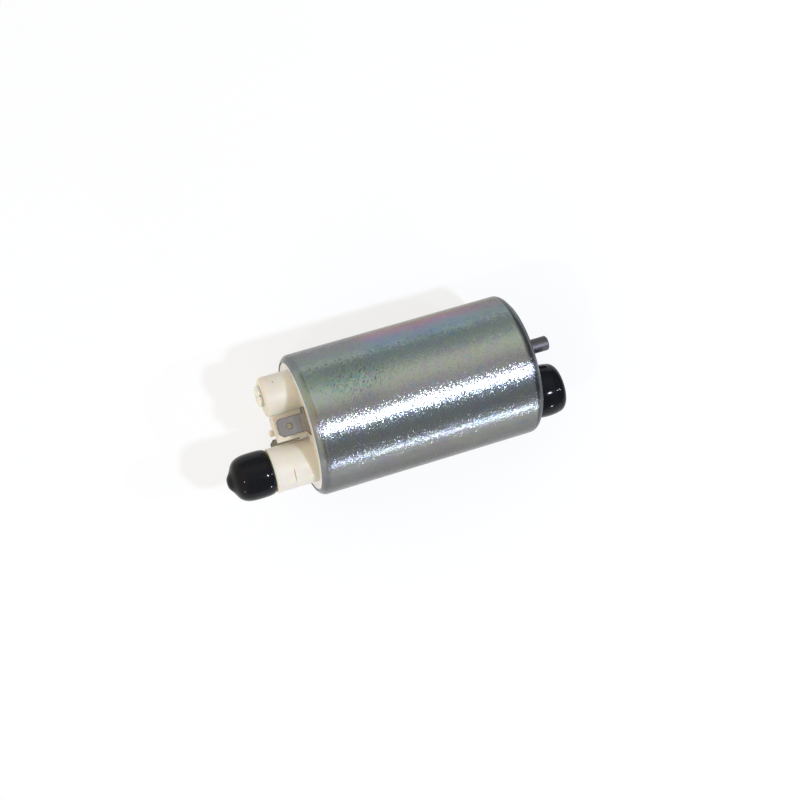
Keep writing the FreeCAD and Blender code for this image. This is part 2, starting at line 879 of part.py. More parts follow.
def outlet_cover_inside():
    """The bearing hub, the brush guides, the valve bosses and the choke pockets under the disc."""
    pocket = sizes.choke_flange_diameter + 2 * (sizes.choke_pocket_fit + sizes.choke_pocket_wall)
    relief_boss = sizes.relief_bore + 2 * sizes.boss_wall
    outlet_boss = sizes.chamber_diameter + 2 * sizes.boss_wall
    pieces = [
        rod("cover_hub", sizes.hub_diameter, guide_start, face),
        block("cover_guides", guide_start, face, -sizes.guide_half_width, sizes.guide_half_width,
              -guide_outer, guide_outer),
        rod("cover_outlet_boss", outlet_boss, disc_inner - sizes.boss_depth, face,
            outlet_across, outlet_up),
        rod("cover_relief_boss", relief_boss, disc_inner - sizes.relief_boss_depth, face,
            relief_across, tower_up),
    ]
    for side, across in (("a", -choke_across), ("b", choke_across)):
        pieces.append(rod(f"cover_choke_boss_{side}", pocket, choke_start, face, across, choke_up))
    return pieces


def outlet_cover_cuts():
    """Every bore, pocket and slot of the cover."""
    past = sizes.cover_disc
    cuts = [
        rod("cut_chamber", sizes.chamber_diameter, disc_inner - past, chamber_end,
            outlet_across, outlet_up),
        rod("cut_outlet_bore", sizes.outlet_bore, chamber_end - past, nipple_end + past,
            outlet_across, outlet_up),
        rod("cut_relief_bore", sizes.relief_bore, relief_seat, tower_end + past,
            relief_across, tower_up),
        rod("cut_relief_seat", sizes.relief_seat_bore, disc_inner - past, relief_seat + past,
            relief_across, tower_up),
        rod("cut_bearing_pocket", sizes.bush_diameter + 2 * sizes.bush_fit, guide_start - past,
            rear_bush_end + sizes.bush_fit),
        rod("cut_shaft_room", sizes.shaft_diameter + 2 * sizes.shaft_hole_clearance, guide_start,
            shaft_end + sizes.shaft_end_room),
    ]
    lead_half = (sizes.lead_wire + sizes.lead_slot_room) / 2 + sizes.lead_slot_room
    pocket_half = sizes.brush_width / 2 + sizes.brush_fit
    pocket_low = brush_inner - sizes.brush_fit
    pocket_high = brush_outer + sizes.brush_fit
    tail_half = sizes.tail_width / 2 + sizes.slot_fit
    slot_high = sizes.blade_level + sizes.blade_sheet + sizes.slot_fit
    slot_start = lead_start - sizes.lead_wire / 2 - sizes.lead_slot_room
    slot_end = lead_start + sizes.lead_wire / 2 + sizes.lead_slot_room + sizes.brush_travel
    for side, tail in (("a", sizes.tail_a_across), ("b", sizes.tail_b_across)):
        up = side == "a"
        cuts += [
            block(f"cut_brush_{side}", guide_start - past, brush_pocket_end, -pocket_half, pocket_half,
                  pocket_low if up else -pocket_high, pocket_high if up else -pocket_low),
            block(f"cut_lead_{side}", slot_start, slot_end, tail - lead_half, tail + lead_half,
                  brush_middle if up else -guide_outer - past, guide_outer + past if up else -brush_middle),
            block(f"cut_tail_{side}", disc_inner - past, face + past, tail - tail_half, tail + tail_half,
                  guide_outer if up else -slot_high, slot_high if up else -guide_outer),
        ]
    bore = sizes.choke_flange_diameter + 2 * sizes.choke_pocket_fit
    for side, across in (("a", -choke_across), ("b", choke_across)):
        cuts.append(rod(f"cut_choke_{side}", bore, choke_start - past,
                        choke_start + sizes.choke_length + sizes.choke_pocket_fit, across, choke_up))
    return cuts


def make_outlet_cover():
    """The whole moulding."""
    solid = joined("cover_solid", [outlet_cover_base(), outlet_post(), relief_tower()]
                   + outlet_cover_pillars() + outlet_cover_inside())
    return finished(without("outlet_cover", solid, outlet_cover_cuts()), "outlet_cover")


# Terminals

def make_terminal(name, blade, tail, turn):
    """A flat blade with a hole, a tee that stops at the cover, and a tail down to the brush lead."""
    body = new_body(name)
    body.Placement.Rotation = FreeCAD.Rotation(FreeCAD.Vector(1, 0, 0), turn)
    sketch = sketch_on(body, "XY_Plane", name + "_outline", sizes.blade_level)
    base = face + sizes.slot_fit
    shoulder = base + sizes.tee_height
    tip = face + sizes.blade_tip
    left = blade - sizes.blade_width / 2
    right = blade + sizes.blade_width / 2
    ear = sizes.tee_height / 2
    outline(sketch, [
        (tail_end, tail - sizes.tail_width / 2),
        (tail_end, tail + sizes.tail_width / 2),
        (base, tail + sizes.tail_width / 2),
        (base, right + sizes.tee_point),
        (shoulder, right),
        (tip - sizes.blade_chamfer, right),
        (tip, right - sizes.blade_chamfer),
        (tip, left + sizes.blade_corner, "right", sizes.blade_corner),
        (tip - sizes.blade_corner, left),
        (shoulder, left),
        (shoulder, left - sizes.tee_ear + ear, "right", ear),
        (base + ear, left - sizes.tee_ear, "right", ear),
        (base, left - sizes.tee_ear + ear),
        (base, tail - sizes.tail_width / 2),
    ])
    circle(sketch, tip - sizes.blade_hole_back, blade, sizes.blade_hole)
    padded(body, sketch, name + "_pad", sizes.blade_sheet)
    return finished(body, name)


# Bearings, shaft and washers

def make_bush(name, start):
    """A sintered bush with chamfered ends."""
    end = start + sizes.bush_length
    bore = shaft_radius + sizes.running_fit
    return finished(turned(name, [
        (start, bore),
        (end, bore),
        (end, bush_radius - sizes.bush_chamfer),
        (end - sizes.bush_chamfer, bush_radius),
        (start + sizes.bush_chamfer, bush_radius),
        (start, bush_radius - sizes.bush_chamfer),
    ]), name)


def make_shaft():
    """The shaft, with a flat at the impeller end."""
    body = turned("shaft", [
        (shaft_start, 0),
        (shaft_end, 0),
        (shaft_end, shaft_radius - sizes.shaft_chamfer),
        (shaft_end - sizes.shaft_chamfer, shaft_radius),
        (shaft_start + sizes.shaft_chamfer, shaft_radius),
        (shaft_start, shaft_radius - sizes.shaft_chamfer),
    ])
    sketch = sketch_on(body, "XZ_Plane", "shaft_flat")
    flat = shaft_radius - sizes.shaft_flat_depth
    outline(sketch, [
        (shaft_start - sizes.shaft_flat_depth, flat),
        (impeller_end, flat),
        (impeller_end, shaft_radius + sizes.shaft_flat_depth),
        (shaft_start - sizes.shaft_flat_depth, shaft_radius + sizes.shaft_flat_depth),
    ])
    pocketed(body, sketch, "shaft_flat_cut", sizes.shaft_diameter * 2)
    return finished(body, "shaft")


def make_washer(name, start):
    """A thrust washer on the shaft."""
    bore = shaft_radius + sizes.running_fit
    return finished(turned(name, [
        (start, bore),
        (start + sizes.washer_sheet, bore),
        (start + sizes.washer_sheet, sizes.washer_diameter / 2),
        (start, sizes.washer_diameter / 2),
    ]), name)


# Impeller

def make_impeller():
    """A disc with a ring of rounded pockets in each face, and a flatted bore for the shaft."""
    body = new_body("impeller")
    disc = sketch_on(body, "YZ_Plane", "impeller_disc", impeller_start)
    bore = shaft_radius + sizes.running_fit
    flat = shaft_radius - sizes.shaft_flat_depth + sizes.flat_fit
    side = leg(bore, flat)
    circle(disc, 0, 0, 2 * impeller_radius)
    outline(disc, [
        (side, flat, "right", bore),
        (bore, 0, "right", bore),
        (0, -bore, "right", bore),
        (-bore, 0, "right", bore),
        (-side, flat),
    ])
    padded(body, disc, "impeller_pad", sizes.impeller_thickness)
    pockets = sketch_on(body, "XY_Plane", "impeller_pockets")
    circle(pockets, impeller_start, vane_circle, 2 * sizes.vane_pocket_radius)
    circle(pockets, impeller_end, vane_circle, 2 * sizes.vane_pocket_radius)
    pocket = pocketed(body, pockets, "impeller_pocket", sizes.vane_pocket_width)
    repeated(body, [pocket], "impeller_vanes", sizes.vane_count, (disc, ["N_Axis"]))
    holes = sketch_on(body, "YZ_Plane", "impeller_holes", impeller_start)
    circle(holes, sizes.balance_hole_radius, 0, sizes.balance_hole)
    hole = pocketed(body, holes, "impeller_hole", 3 * sizes.impeller_thickness)
    repeated(body, [hole], "impeller_balance", sizes.balance_hole_count, (disc, ["N_Axis"]))
    return finished(body, "impeller")


def side_channel(body, name, where):
    """Cut the half-round channel that faces the vanes, most of the way round."""
    sketch = sketch_on(body, "XY_Plane", name + "_sketch")
    circle(sketch, where, vane_circle, 2 * sizes.channel_radius)
    groove = body.newObject("PartDesign::Groove", name)
    groove.Profile = sketch
    groove.ReferenceAxis = (sketch, ["H_Axis"])
    bind(groove, "Angle", sizes.channel_angle)


# Pump casing

def make_pump_casing():
    """The plate behind the impeller, the wall round it, the bearing boss and the magnet stop."""
    skirt_end = magnet_start - sizes.magnet_end_gap
    boss = sizes.casing_boss_diameter / 2
    pocket = bush_radius + sizes.bush_fit
    hole = shaft_radius + sizes.shaft_hole_clearance
    body = turned("casing_turned", [
        (casing_face, hole),
        (front_bush_start - sizes.bush_fit, hole),
        (front_bush_start - sizes.bush_fit, pocket),
        (boss_end, pocket),
        (boss_end, boss),
        (casing_back, boss),
        (casing_back, skirt_inner),
        (skirt_end, skirt_inner),
        (skirt_end, cover_radius),
        (pump_face + sizes.bush_fit, cover_radius),
        (pump_face + sizes.bush_fit, chamber_radius),
        (casing_face, chamber_radius),
    ])
    side_channel(body, "casing_channel", casing_face)
    port = rod("casing_port", sizes.port_diameter,
               casing_face - sizes.channel_radius, casing_back + sizes.channel_radius,
               vane_circle * cosine(sizes.port_angle),
               vane_circle * sine(sizes.port_angle))
    return finished(without("pump_casing", body, [port]), "pump_casing")


# Inlet cover

def inlet_cover_base():
    """The plate with its rounded shoulder and the channel that faces the impeller."""
    rim = lip_radius - sizes.inlet_rim_gap
    body = turned("inlet_base", [
        (pump_face, 0),
        (pump_face, cover_radius),
        (-roll_start, cover_radius, "left", shoulder_arc),
        (-shoulder_end, shoulder_radius),
        (-shoulder_end, rim),
        (inlet_face, rim),
        (inlet_face, 0),
    ])
    side_channel(body, "inlet_channel", pump_face)
    return body


def inlet_nipple():
    """The inlet nipple with its root fillet and its end rounding."""
    radius = sizes.inlet_nipple_diameter / 2
    return turned("inlet_nipple", [
        (pump_face - sizes.inlet_plate / 2, 0),
        (inlet_nipple_end, 0),
        (inlet_nipple_end, radius - sizes.pin_chamfer),
        (inlet_nipple_end + sizes.pin_chamfer, radius),
        (inlet_face - sizes.root_fillet, radius, "left", sizes.root_fillet),
        (inlet_face, radius + sizes.root_fillet),
        (pump_face - sizes.inlet_plate / 2, radius + sizes.root_fillet),
    ], inlet_across)


def locating_pin():
    """The pin that sets the strainer's direction."""
    radius = sizes.pin_diameter / 2
    tip = inlet_face - sizes.pin_length
    return turned("inlet_pin", [
        (pump_face - sizes.inlet_plate / 2, 0),
        (tip, 0),
        (tip, radius - sizes.pin_chamfer),
        (tip + sizes.pin_chamfer, radius),
        (inlet_face - sizes.pin_chamfer, radius, "left", sizes.pin_chamfer),
        (inlet_face, radius + sizes.pin_chamfer),
        (pump_face - sizes.inlet_plate / 2, radius + sizes.pin_chamfer),
    ], sizes.pin_across)


def make_inlet_cover():
    """The cast cover with its inlet nipple and pin."""
    past = sizes.inlet_plate / 2
    solid = joined("inlet_solid", [inlet_cover_base(), inlet_nipple(), locating_pin()])
    cuts = [
        rod("cut_inlet_bore", sizes.inlet_bore, inlet_nipple_end - past, pump_face + past,
            inlet_across),
        rod("cut_button_seat", sizes.button_diameter + 2 * sizes.button_fit, button_seat, pump_face + past),
        rod("cut_vapour_vent", sizes.vent_diameter, inlet_face - past, pump_face + past,
            vane_circle * cosine(sizes.vent_angle),
            vane_circle * sine(sizes.vent_angle)),
    ]
    return finished(without("inlet_cover", solid, cuts), "inlet_cover")


def make_thrust_button():
    """The hard disc that the shaft's end runs on."""
    return finished(rod("thrust_button", sizes.button_diameter, button_seat, button_face), "thrust_button")


# Armature

def slotted(name, start, end, diameter):
    """A disc or stack with keyhole slots for the windings."""
    body = new_body(name)
    disc = sketch_on(body, "YZ_Plane", name + "_disc", start)
    circle(disc, 0, 0, diameter)
    circle(disc, 0, 0, sizes.shaft_diameter + 2 * sizes.running_fit)
    padded(body, disc, name + "_pad", as_size(end) - start)
    length = 4 * (as_size(end) - start)
    hole = sketch_on(body, "YZ_Plane", name + "_hole", start)
    circle(hole, slot_circle, 0, 2 * slot_radius)
    hole_cut = pocketed(body, hole, name + "_hole_cut", length)
    gap = sketch_on(body, "YZ_Plane", name + "_gap", start)
    mouth = sizes.slot_mouth
    outline(gap, [
        (slot_circle, -mouth / 2),
        (as_size(diameter), -mouth / 2),
        (as_size(diameter), mouth / 2),
        (slot_circle, mouth / 2),
    ])
    gap_cut = pocketed(body, gap, name + "_gap_cut", length)
    repeated(body, [hole_cut, gap_cut], name + "_slots", sizes.slot_count, (disc, ["N_Axis"]))
    return finished(body, name)


def make_winding():
    """Copper that fills the slots and stands proud of the stack at both ends."""
    radius = slot_radius - sizes.winding_clearance
    bevel = sizes.winding_bevel
    pieces = []
    for end_name, low, high in (("front", winding_start, core_start - sizes.insulator_sheet),
                                ("rear", core_end + sizes.insulator_sheet, winding_end)):
        pieces.append(turned(f"winding_{end_name}", [
            (low + bevel, sizes.winding_inner),
            (high - bevel, sizes.winding_inner),
            (high, sizes.winding_inner + bevel),
            (high, winding_outer - bevel),
            (high - bevel, winding_outer),
            (low + bevel, winding_outer),
            (low, winding_outer - bevel),
            (low, sizes.winding_inner + bevel),
        ]))
    body = new_body("winding_slots")
    sketch = sketch_on(body, "YZ_Plane", "winding_slot", winding_start + sizes.winding_overhang / 2)
    circle(sketch, slot_circle, 0, 2 * radius)
    body.AllowCompound = True
    bar = padded(body, sketch, "winding_bar", winding_end - winding_start - sizes.winding_overhang)
    repeated(body, [bar], "winding_bars", sizes.slot_count, (sketch, ["N_Axis"]))
    pieces.append(body)
    return finished(joined("armature_winding", pieces), "armature_winding")


# Commutator

def make_commutator_hub():
    """The moulded hub that carries the carbon face."""
    radius = sizes.commutator_diameter / 2
    neck = sizes.commutator_neck_diameter / 2
    bore = shaft_radius + sizes.running_fit
    return finished(turned("commutator_hub", [
        (commutator_start, bore),
        (carbon_end - sizes.carbon_fit, bore),
        (carbon_end - sizes.carbon_fit, neck),
        (carbon_start, neck),
        (carbon_start, radius),
        (commutator_start, radius),
    ]), "commutator_hub")


def make_commutator_face():
    """The carbon ring, sawn into segments."""
    neck = sizes.commutator_neck_diameter / 2 + sizes.carbon_fit
    body = turned("commutator_face", [
        (carbon_start + sizes.carbon_fit, neck),
        (carbon_end, neck),
        (carbon_end, sizes.commutator_diameter / 2),
        (carbon_start + sizes.carbon_fit, sizes.commutator_diameter / 2),
    ])
    sketch = sketch_on(body, "XY_Plane", "commutator_saw")
    outline(sketch, [
        (carbon_end - sizes.segment_slot_depth, 0),
        (carbon_end + sizes.segment_slot_depth, 0),
        (carbon_end + sizes.segment_slot_depth, sizes.commutator_diameter),
        (carbon_end - sizes.segment_slot_depth, sizes.commutator_diameter),
    ])
    saw = pocketed(body, sketch, "commutator_cut", sizes.segment_slot_width)
    repeated(body, [saw], "commutator_slots", sizes.segment_count, (sketch, ["H_Axis"]))
    return finished(body, "commutator_face")


# Magnets and clips

def make_magnet(name, turn):
    """An arc magnet along the shell's bore."""
    body = new_body(name)
    body.Placement.Rotation = FreeCAD.Rotation(FreeCAD.Vector(1, 0, 0), turn)
    sketch = sketch_on(body, "XZ_Plane", name + "_section")
    outline(sketch, [
        (magnet_start, magnet_inner),
        (magnet_end, magnet_inner),
        (magnet_end, magnet_outer),
        (magnet_start, magnet_outer),
    ])
    turning = body.newObject("PartDesign::Revolution", name + "_turning")
    turning.Profile = sketch
    turning.ReferenceAxis = (sketch, ["H_Axis"])
    turning.Midplane = True
    bind(turning, "Angle", sizes.magnet_angle)
    return finished(body, name)


def make_clip(name, turn):
    """A channel of spring steel between the ends of the two magnets, open towards the armature."""
    body = new_body(name)
    body.Placement.Rotation = FreeCAD.Rotation(FreeCAD.Vector(1, 0, 0), turn)
    start = magnet_start + sizes.clip_end_gap
    sketch = sketch_on(body, "YZ_Plane", name + "_section", start)
    outer = magnet_outer
    inner = outer - sizes.clip_leg
    back = outer - sizes.clip_sheet
    to_degrees = 180 / math.pi
    half = 90 - sizes.magnet_angle / 2 - sizes.clip_fit / magnet_inner * to_degrees
    half_outer = half - sizes.clip_sheet / back * to_degrees
    half_inner = half - sizes.clip_sheet / inner * to_degrees
    outline(sketch, [
        (inner * cosine(half), -inner * sine(half)),
        (outer * cosine(half), -outer * sine(half), "left", outer),
        (outer * cosine(half), outer * sine(half)),
        (inner * cosine(half), inner * sine(half)),
        (inner * cosine(half_inner), inner * sine(half_inner)),
        (back * cosine(half_outer), back * sine(half_outer), "right", back),
        (back * cosine(half_outer), -back * sine(half_outer)),
        (inner * cosine(half_inner), -inner * sine(half_inner)),
    ])
    padded(body, sketch, name + "_pad", magnet_end - sizes.clip_end_gap - start)
    return finished(body, name)


# Brushes, springs and leads

def make_brush(name, side):
    """A carbon brush that presses on the commutator face."""
    low = brush_inner if side > 0 else -brush_outer
    high = brush_outer if side > 0 else -brush_inner
    half = sizes.brush_width / 2
    return finished(block(name, brush_start, brush_end, -half, half, low, high), name)


def make_lead(name, side, tail):
    """The braided lead from the side of the brush to the end of the terminal's tail."""
    item = doc.addObject("Part::Feature", name)
    level = sizes.blade_level + sizes.blade_sheet / 2
    foot = FreeCAD.Vector(lead_start.value, 0, side * (brush_outer + sizes.brush_gap).value)
    corner = FreeCAD.Vector(lead_start.value, 0, side * level.value)
    far = FreeCAD.Vector((tail_end - sizes.brush_gap).value, 0, side * level.value)
    bend = sizes.lead_bend.value
    leave = corner - FreeCAD.Vector(0, 0, side * bend)
    reach = corner + FreeCAD.Vector(bend, 0, 0)
    centre = corner + FreeCAD.Vector(bend, 0, -side * bend)
    middle = centre + FreeCAD.Vector(-bend, 0, side * bend) * math.sqrt(0.5)
    path = Part.Wire([Part.LineSegment(foot, leave).toShape(), Part.Arc(leave, middle, reach).toShape(),
                      Part.LineSegment(reach, far).toShape()])
    section = Part.Wire(Part.Circle(foot, leave - foot, sizes.lead_wire.value / 2).toShape())
    item.Shape = path.makePipeShell([section], True, False)
    put(item, 0, tail, 0)
    return finished(item, name)


# Chokes

def make_choke(side, across):
    """A ferrite drum with a copper coil between its flanges."""
    start = choke_start + sizes.choke_pocket_fit
    end = start + sizes.choke_length - 2 * sizes.choke_pocket_fit
    flange = sizes.choke_flange_diameter / 2
    core = sizes.choke_core_diameter / 2
    finished(turned(f"choke_core_{side}", [
        (start, 0),
        (end, 0),
        (end, flange),
        (end - sizes.choke_flange, flange),
        (end - sizes.choke_flange, core),
        (start + sizes.choke_flange, core),
        (start + sizes.choke_flange, flange),
        (start, flange),
    ], across, choke_up), f"choke_core_{side}")
    finished(turned(f"choke_coil_{side}", [
        (start + sizes.choke_flange + sizes.choke_coil_fit, core + sizes.choke_coil_fit),
        (end - sizes.choke_flange - sizes.choke_coil_fit, core + sizes.choke_coil_fit),
        (end - sizes.choke_flange - sizes.choke_coil_fit, sizes.choke_coil_diameter / 2),
        (start + sizes.choke_flange + sizes.choke_coil_fit, sizes.choke_coil_diameter / 2),
    ], across, choke_up), f"choke_coil_{side}")


# Seal

def make_seal():
    """The ring seal in the cover's groove."""
    ring = doc.addObject("Part::Torus", "outlet_seal")
    ring.Placement = FreeCAD.Placement(FreeCAD.Vector(), ALONG_X)
    bind(ring, "Radius2", sizes.seal_wire / 2)
    bind(ring, "Radius1", shell_bore - sizes.seal_squash_room - sizes.seal_wire / 2)
    put(ring, face - sizes.seal_back)
    return finished(ring, "outlet_seal")


# Check valve

def make_check_seat():
    """The seat ring pressed into the bottom of the outlet chamber."""
    outer = chamber - sizes.seat_fit
    bore = sizes.seat_bore / 2
    return finished(turned("check_valve_seat", [
        (seat_start, bore),
        (seat_end, bore),
        (seat_end, outer),
        (seat_start, outer),
    ], outlet_across, outlet_up), "check_valve_seat")


def make_check_disc():
    """The rubber sealing disc of the poppet."""
    bore = sizes.poppet_spigot_diameter / 2 + sizes.seat_fit
    return finished(turned("check_valve_disc", [
        (valve_disc_start, bore),
        (poppet_start - sizes.seat_fit, bore),
        (poppet_start - sizes.seat_fit, sizes.valve_disc_diameter / 2),
        (valve_disc_start, sizes.valve_disc_diameter / 2),
    ], outlet_across, outlet_up), "check_valve_disc")


def make_check_poppet():
    """The poppet: a head, a spigot through the rubber disc, and four wings that guide it."""
    spigot = sizes.poppet_spigot_diameter / 2
    head = sizes.poppet_head_diameter / 2
    stem = turned("poppet_stem", [
        (valve_disc_start - sizes.poppet_spigot_length, 0),
        (wing_end, 0),
        (wing_end, spigot),
        (wing_start, spigot),
        (wing_start, head),
        (poppet_start, head),
        (poppet_start, spigot),
        (valve_disc_start - sizes.poppet_spigot_length / 2, spigot),
        (valve_disc_start - sizes.poppet_spigot_length, spigot / 2),
    ], outlet_across, outlet_up)
    reach = chamber + sizes.wing_thickness
    half = sizes.wing_thickness / 2
    crossed = joined("poppet_cross", [
        block("wing_flat", wing_start, wing_end, outlet_across - reach, outlet_across + reach,
              outlet_up - half, outlet_up + half),
        block("wing_upright", wing_start, wing_end, outlet_across - half, outlet_across + half,
              outlet_up - reach, outlet_up + reach),
    ])
    limit = rod("wing_limit", sizes.chamber_diameter - 2 * sizes.wing_fit, wing_start, wing_end,
                outlet_across, outlet_up)
    wings = shared("poppet_wings", crossed, limit)
    return finished(joined("check_valve_poppet", [stem, wings]), "check_valve_poppet")


# Relief valve

def make_relief_ball():
    """The ball that lifts off its seat when the pressure is too high."""
    ball = doc.addObject("Part::Sphere", "relief_ball")
    bind(ball, "Radius", ball_radius)
    put(ball, ball_place, relief_across, tower_up)
    return finished(ball, "relief_ball")


def make_relief_plug():
    """The plug that closes the tower and vents it."""
    head = sizes.plug_head_diameter / 2
    shank = sizes.relief_bore / 2 - sizes.plug_fit
    vent = sizes.plug_vent / 2
    start = tower_end - sizes.plug_shank_length
    end = tower_end + sizes.plug_fit + sizes.plug_head_length
    body = turned("plug_turned", [
        (start, vent),
        (end, vent),
        (end, head - sizes.plug_rounding),
        (end - sizes.plug_rounding, head),
        (tower_end + sizes.plug_fit, head),
        (tower_end + sizes.plug_fit, shank),
        (start, shank),
    ], relief_across, tower_up)
    side = upright("plug_side_vents", sizes.plug_side_vent,
                   tower_end + sizes.plug_fit + sizes.plug_side_vent, relief_across,
                   tower_up - sizes.plug_head_diameter, tower_up + sizes.plug_head_diameter)
    return finished(without("relief_plug", body, [side]), "relief_plug")


# Caps

def dome_radius(height, half_width):
    """The radius of the arc that rises to a height over a half width, level at its top."""
    return (height * height + half_width * half_width) / (2 * height)


def make_outlet_cap():
    """A soft cap over the outlet nipple, swollen by the barb and drawn to a blunt nub."""
    rim = post_end + sizes.outlet_cap_gap
    tip = rim + sizes.outlet_cap_length
    rim_radius = sizes.outlet_cap_rim_diameter / 2
    bulge = sizes.outlet_cap_bulge_diameter / 2
    nub = sizes.outlet_cap_nub_diameter / 2
    bore = sizes.outlet_nipple_diameter / 2 + sizes.barb_height + sizes.cap_fit
    bottom = nipple_end + sizes.cap_end_gap
    shoulder = rim + sizes.outlet_cap_shoulder_place
    nub_start = tip - sizes.outlet_cap_nub_height
    shoulder_across = bulge - sizes.cap_fit
    drop = shoulder_across - nub
    rise = nub_start - shoulder
    shoulder_bend = dome_radius(drop, rise)
    nub_bend = dome_radius(sizes.outlet_cap_nub_height, nub)
    return finished(turned("outlet_cap", [
        (rim, bore),
        (rim, rim_radius),
        (rim + sizes.outlet_cap_bulge_place, bulge),
        (shoulder, shoulder_across, "right", shoulder_bend),
        (nub_start, nub, "right", nub_bend),
        (tip, 0),
        (bottom, 0),
        (bottom, bore),
    ], outlet_across, outlet_up), "outlet_cap")


def make_inlet_cap():
    """A plain soft cap over the inlet nipple, with a well rounded end."""
    radius = sizes.inlet_cap_diameter / 2
    bore = sizes.inlet_nipple_diameter / 2 + sizes.cap_fit
    rim = inlet_face - sizes.inlet_cap_rim_gap
    bottom = inlet_nipple_end - sizes.cap_end_gap
    tip = bottom - sizes.inlet_cap_end_wall
    return finished(turned("inlet_cap", [
        (rim, bore),
        (bottom, bore),
        (bottom, 0),
        (tip, 0),
        (tip, radius - sizes.inlet_cap_rounding, "right", sizes.inlet_cap_rounding),
        (tip + sizes.inlet_cap_rounding, radius),
        (rim, radius),
    ], inlet_across), "inlet_cap")


# Build every sub-part

def build():
    """Make the whole pump, from the outside in."""
    make_shell()
    make_outlet_cover()
    make_inlet_cover()
    make_pump_casing()
    make_seal()
    make_terminal("terminal_positive", sizes.blade_a_across, sizes.tail_a_across, 0)
    make_terminal("terminal_negative", -sizes.blade_b_across, -sizes.tail_b_across, 180)
    make_choke("a", -choke_across)
    make_choke("b", choke_across)
    make_magnet("magnet_upper", 0)
    make_magnet("magnet_lower", 180)
    make_clip("magnet_clip_a", 0)
    make_clip("magnet_clip_b", 180)
    make_bush("front_bearing", front_bush_start)
    make_bush("rear_bearing", rear_bush_start)
    make_thrust_button()
    make_shaft()
    make_impeller()
    make_washer("front_washer", boss_end + sizes.washer_gap)
    make_washer("rear_washer", guide_start - sizes.washer_gap - sizes.washer_sheet)
    slotted("armature_core", core_start, core_end, 2 * core_radius)
    insulator_diameter = 2 * (core_radius - sizes.insulator_trim)
    slotted("insulator_front", core_start - sizes.insulator_sheet, core_start, insulator_diameter)
    slotted("insulator_rear", core_end, core_end + sizes.insulator_sheet, insulator_diameter)
    make_winding()
    make_commutator_hub()
    make_commutator_face()
    for name, side, tail in (("a", 1, sizes.tail_a_across), ("b", -1, sizes.tail_b_across)):
        make_brush("brush_" + name, side)
        make_lead("brush_lead_" + name, side, tail)
        spring("brush_spring_" + name, sizes.brush_spring_radius, sizes.brush_spring_wire,
               brush_end + sizes.spring_gap, brush_pocket_end - sizes.spring_gap, sizes.brush_spring_turns,
               0, brush_middle * side)
    make_check_seat()
    make_check_disc()
    make_check_poppet()
    spring("check_valve_spring", sizes.check_spring_radius, sizes.check_spring_wire,
           wing_end + sizes.spring_gap, chamber_end - sizes.spring_gap, sizes.check_spring_turns,
           outlet_across, outlet_up)
    make_relief_ball()
    make_relief_plug()
    contact = ball_radius + sizes.relief_spring_wire / 2 + sizes.spring_gap
    spring_start = ball_place + leg(contact, sizes.relief_spring_radius)
    spring("relief_spring", sizes.relief_spring_radius, sizes.relief_spring_wire,
           spring_start - sizes.relief_spring_wire / 2,
           tower_end - sizes.plug_shank_length - sizes.spring_gap,
           sizes.relief_spring_turns, relief_across, tower_up)
    make_outlet_cap()
    make_inlet_cap()


def write_parts():
    """Check every object and write each sub-part to its own file."""
    doc.recompute()
    for item in doc.Objects:
        states = [state for state in item.State if state in ("Invalid", "Error")]
        if states:
            raise RuntimeError(f"{item.Label} is {states}")
    for item in NODES:
        if item.Shape.isNull() or not item.Shape.isValid():
            raise RuntimeError(f"{item.Label} has no valid shape")
    os.makedirs("parts", exist_ok=True)
    for item in NODES:
        item.Shape.exportStep(f"parts/{item.Label}.step")
        box = item.Shape.BoundBox
        print(f"{item.Label}: {len(item.Shape.Solids)} solid, {item.Shape.Volume:.1f} mm3, "
              f"x {box.XMin:.2f} to {box.XMax:.2f}")


build()
write_parts()
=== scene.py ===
# %% [markdown]
# An in-tank fuel pump lies on its barrel on white paper. The imported model gives the size and place of every
# piece. This script gives each one its finish. It makes again, in finer mesh, only the pieces whose skin the eye
# rests on, the shell and the two soft caps, because the imported mesh shows its flats in a long highlight. The
# frame is loaded first, and the new pieces take their sizes from its pieces' boxes, because the dressed pump has
# to stay the same size.

# %% Load the frame
import json
import math

import bmesh
import bpy
from mathutils import Matrix, Vector


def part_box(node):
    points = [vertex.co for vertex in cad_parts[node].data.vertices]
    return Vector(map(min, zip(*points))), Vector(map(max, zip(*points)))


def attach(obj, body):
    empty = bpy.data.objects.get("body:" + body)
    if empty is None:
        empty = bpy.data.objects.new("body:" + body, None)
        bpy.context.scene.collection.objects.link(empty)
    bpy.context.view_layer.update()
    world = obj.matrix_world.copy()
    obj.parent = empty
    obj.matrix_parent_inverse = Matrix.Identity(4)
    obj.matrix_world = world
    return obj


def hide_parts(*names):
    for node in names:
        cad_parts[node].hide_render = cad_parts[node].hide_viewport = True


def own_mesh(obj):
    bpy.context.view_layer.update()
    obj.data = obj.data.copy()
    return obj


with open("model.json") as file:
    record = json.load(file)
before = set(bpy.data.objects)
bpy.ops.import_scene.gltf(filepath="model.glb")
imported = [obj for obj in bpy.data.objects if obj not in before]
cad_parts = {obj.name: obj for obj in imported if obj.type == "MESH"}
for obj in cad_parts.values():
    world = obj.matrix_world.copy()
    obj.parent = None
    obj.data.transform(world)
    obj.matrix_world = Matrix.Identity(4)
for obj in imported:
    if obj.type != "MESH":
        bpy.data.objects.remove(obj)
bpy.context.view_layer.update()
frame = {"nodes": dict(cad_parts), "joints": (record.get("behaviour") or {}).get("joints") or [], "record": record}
print("pieces in the frame:", len(frame["nodes"]))

# %% [markdown]
# Everything below is written in millimetres and turned to metres here, because the pump's drawings
# are in millimetres and Blender works in metres. The axis of the barrel is X, the outlet is at +X,
# and up is +Z.

# %% Sizes that the pieces share
MM = 0.001


def box_mm(node):
    """Lowest and highest corner of a piece of the frame, in millimetres."""
    low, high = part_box(node)
    return low / MM, high / MM


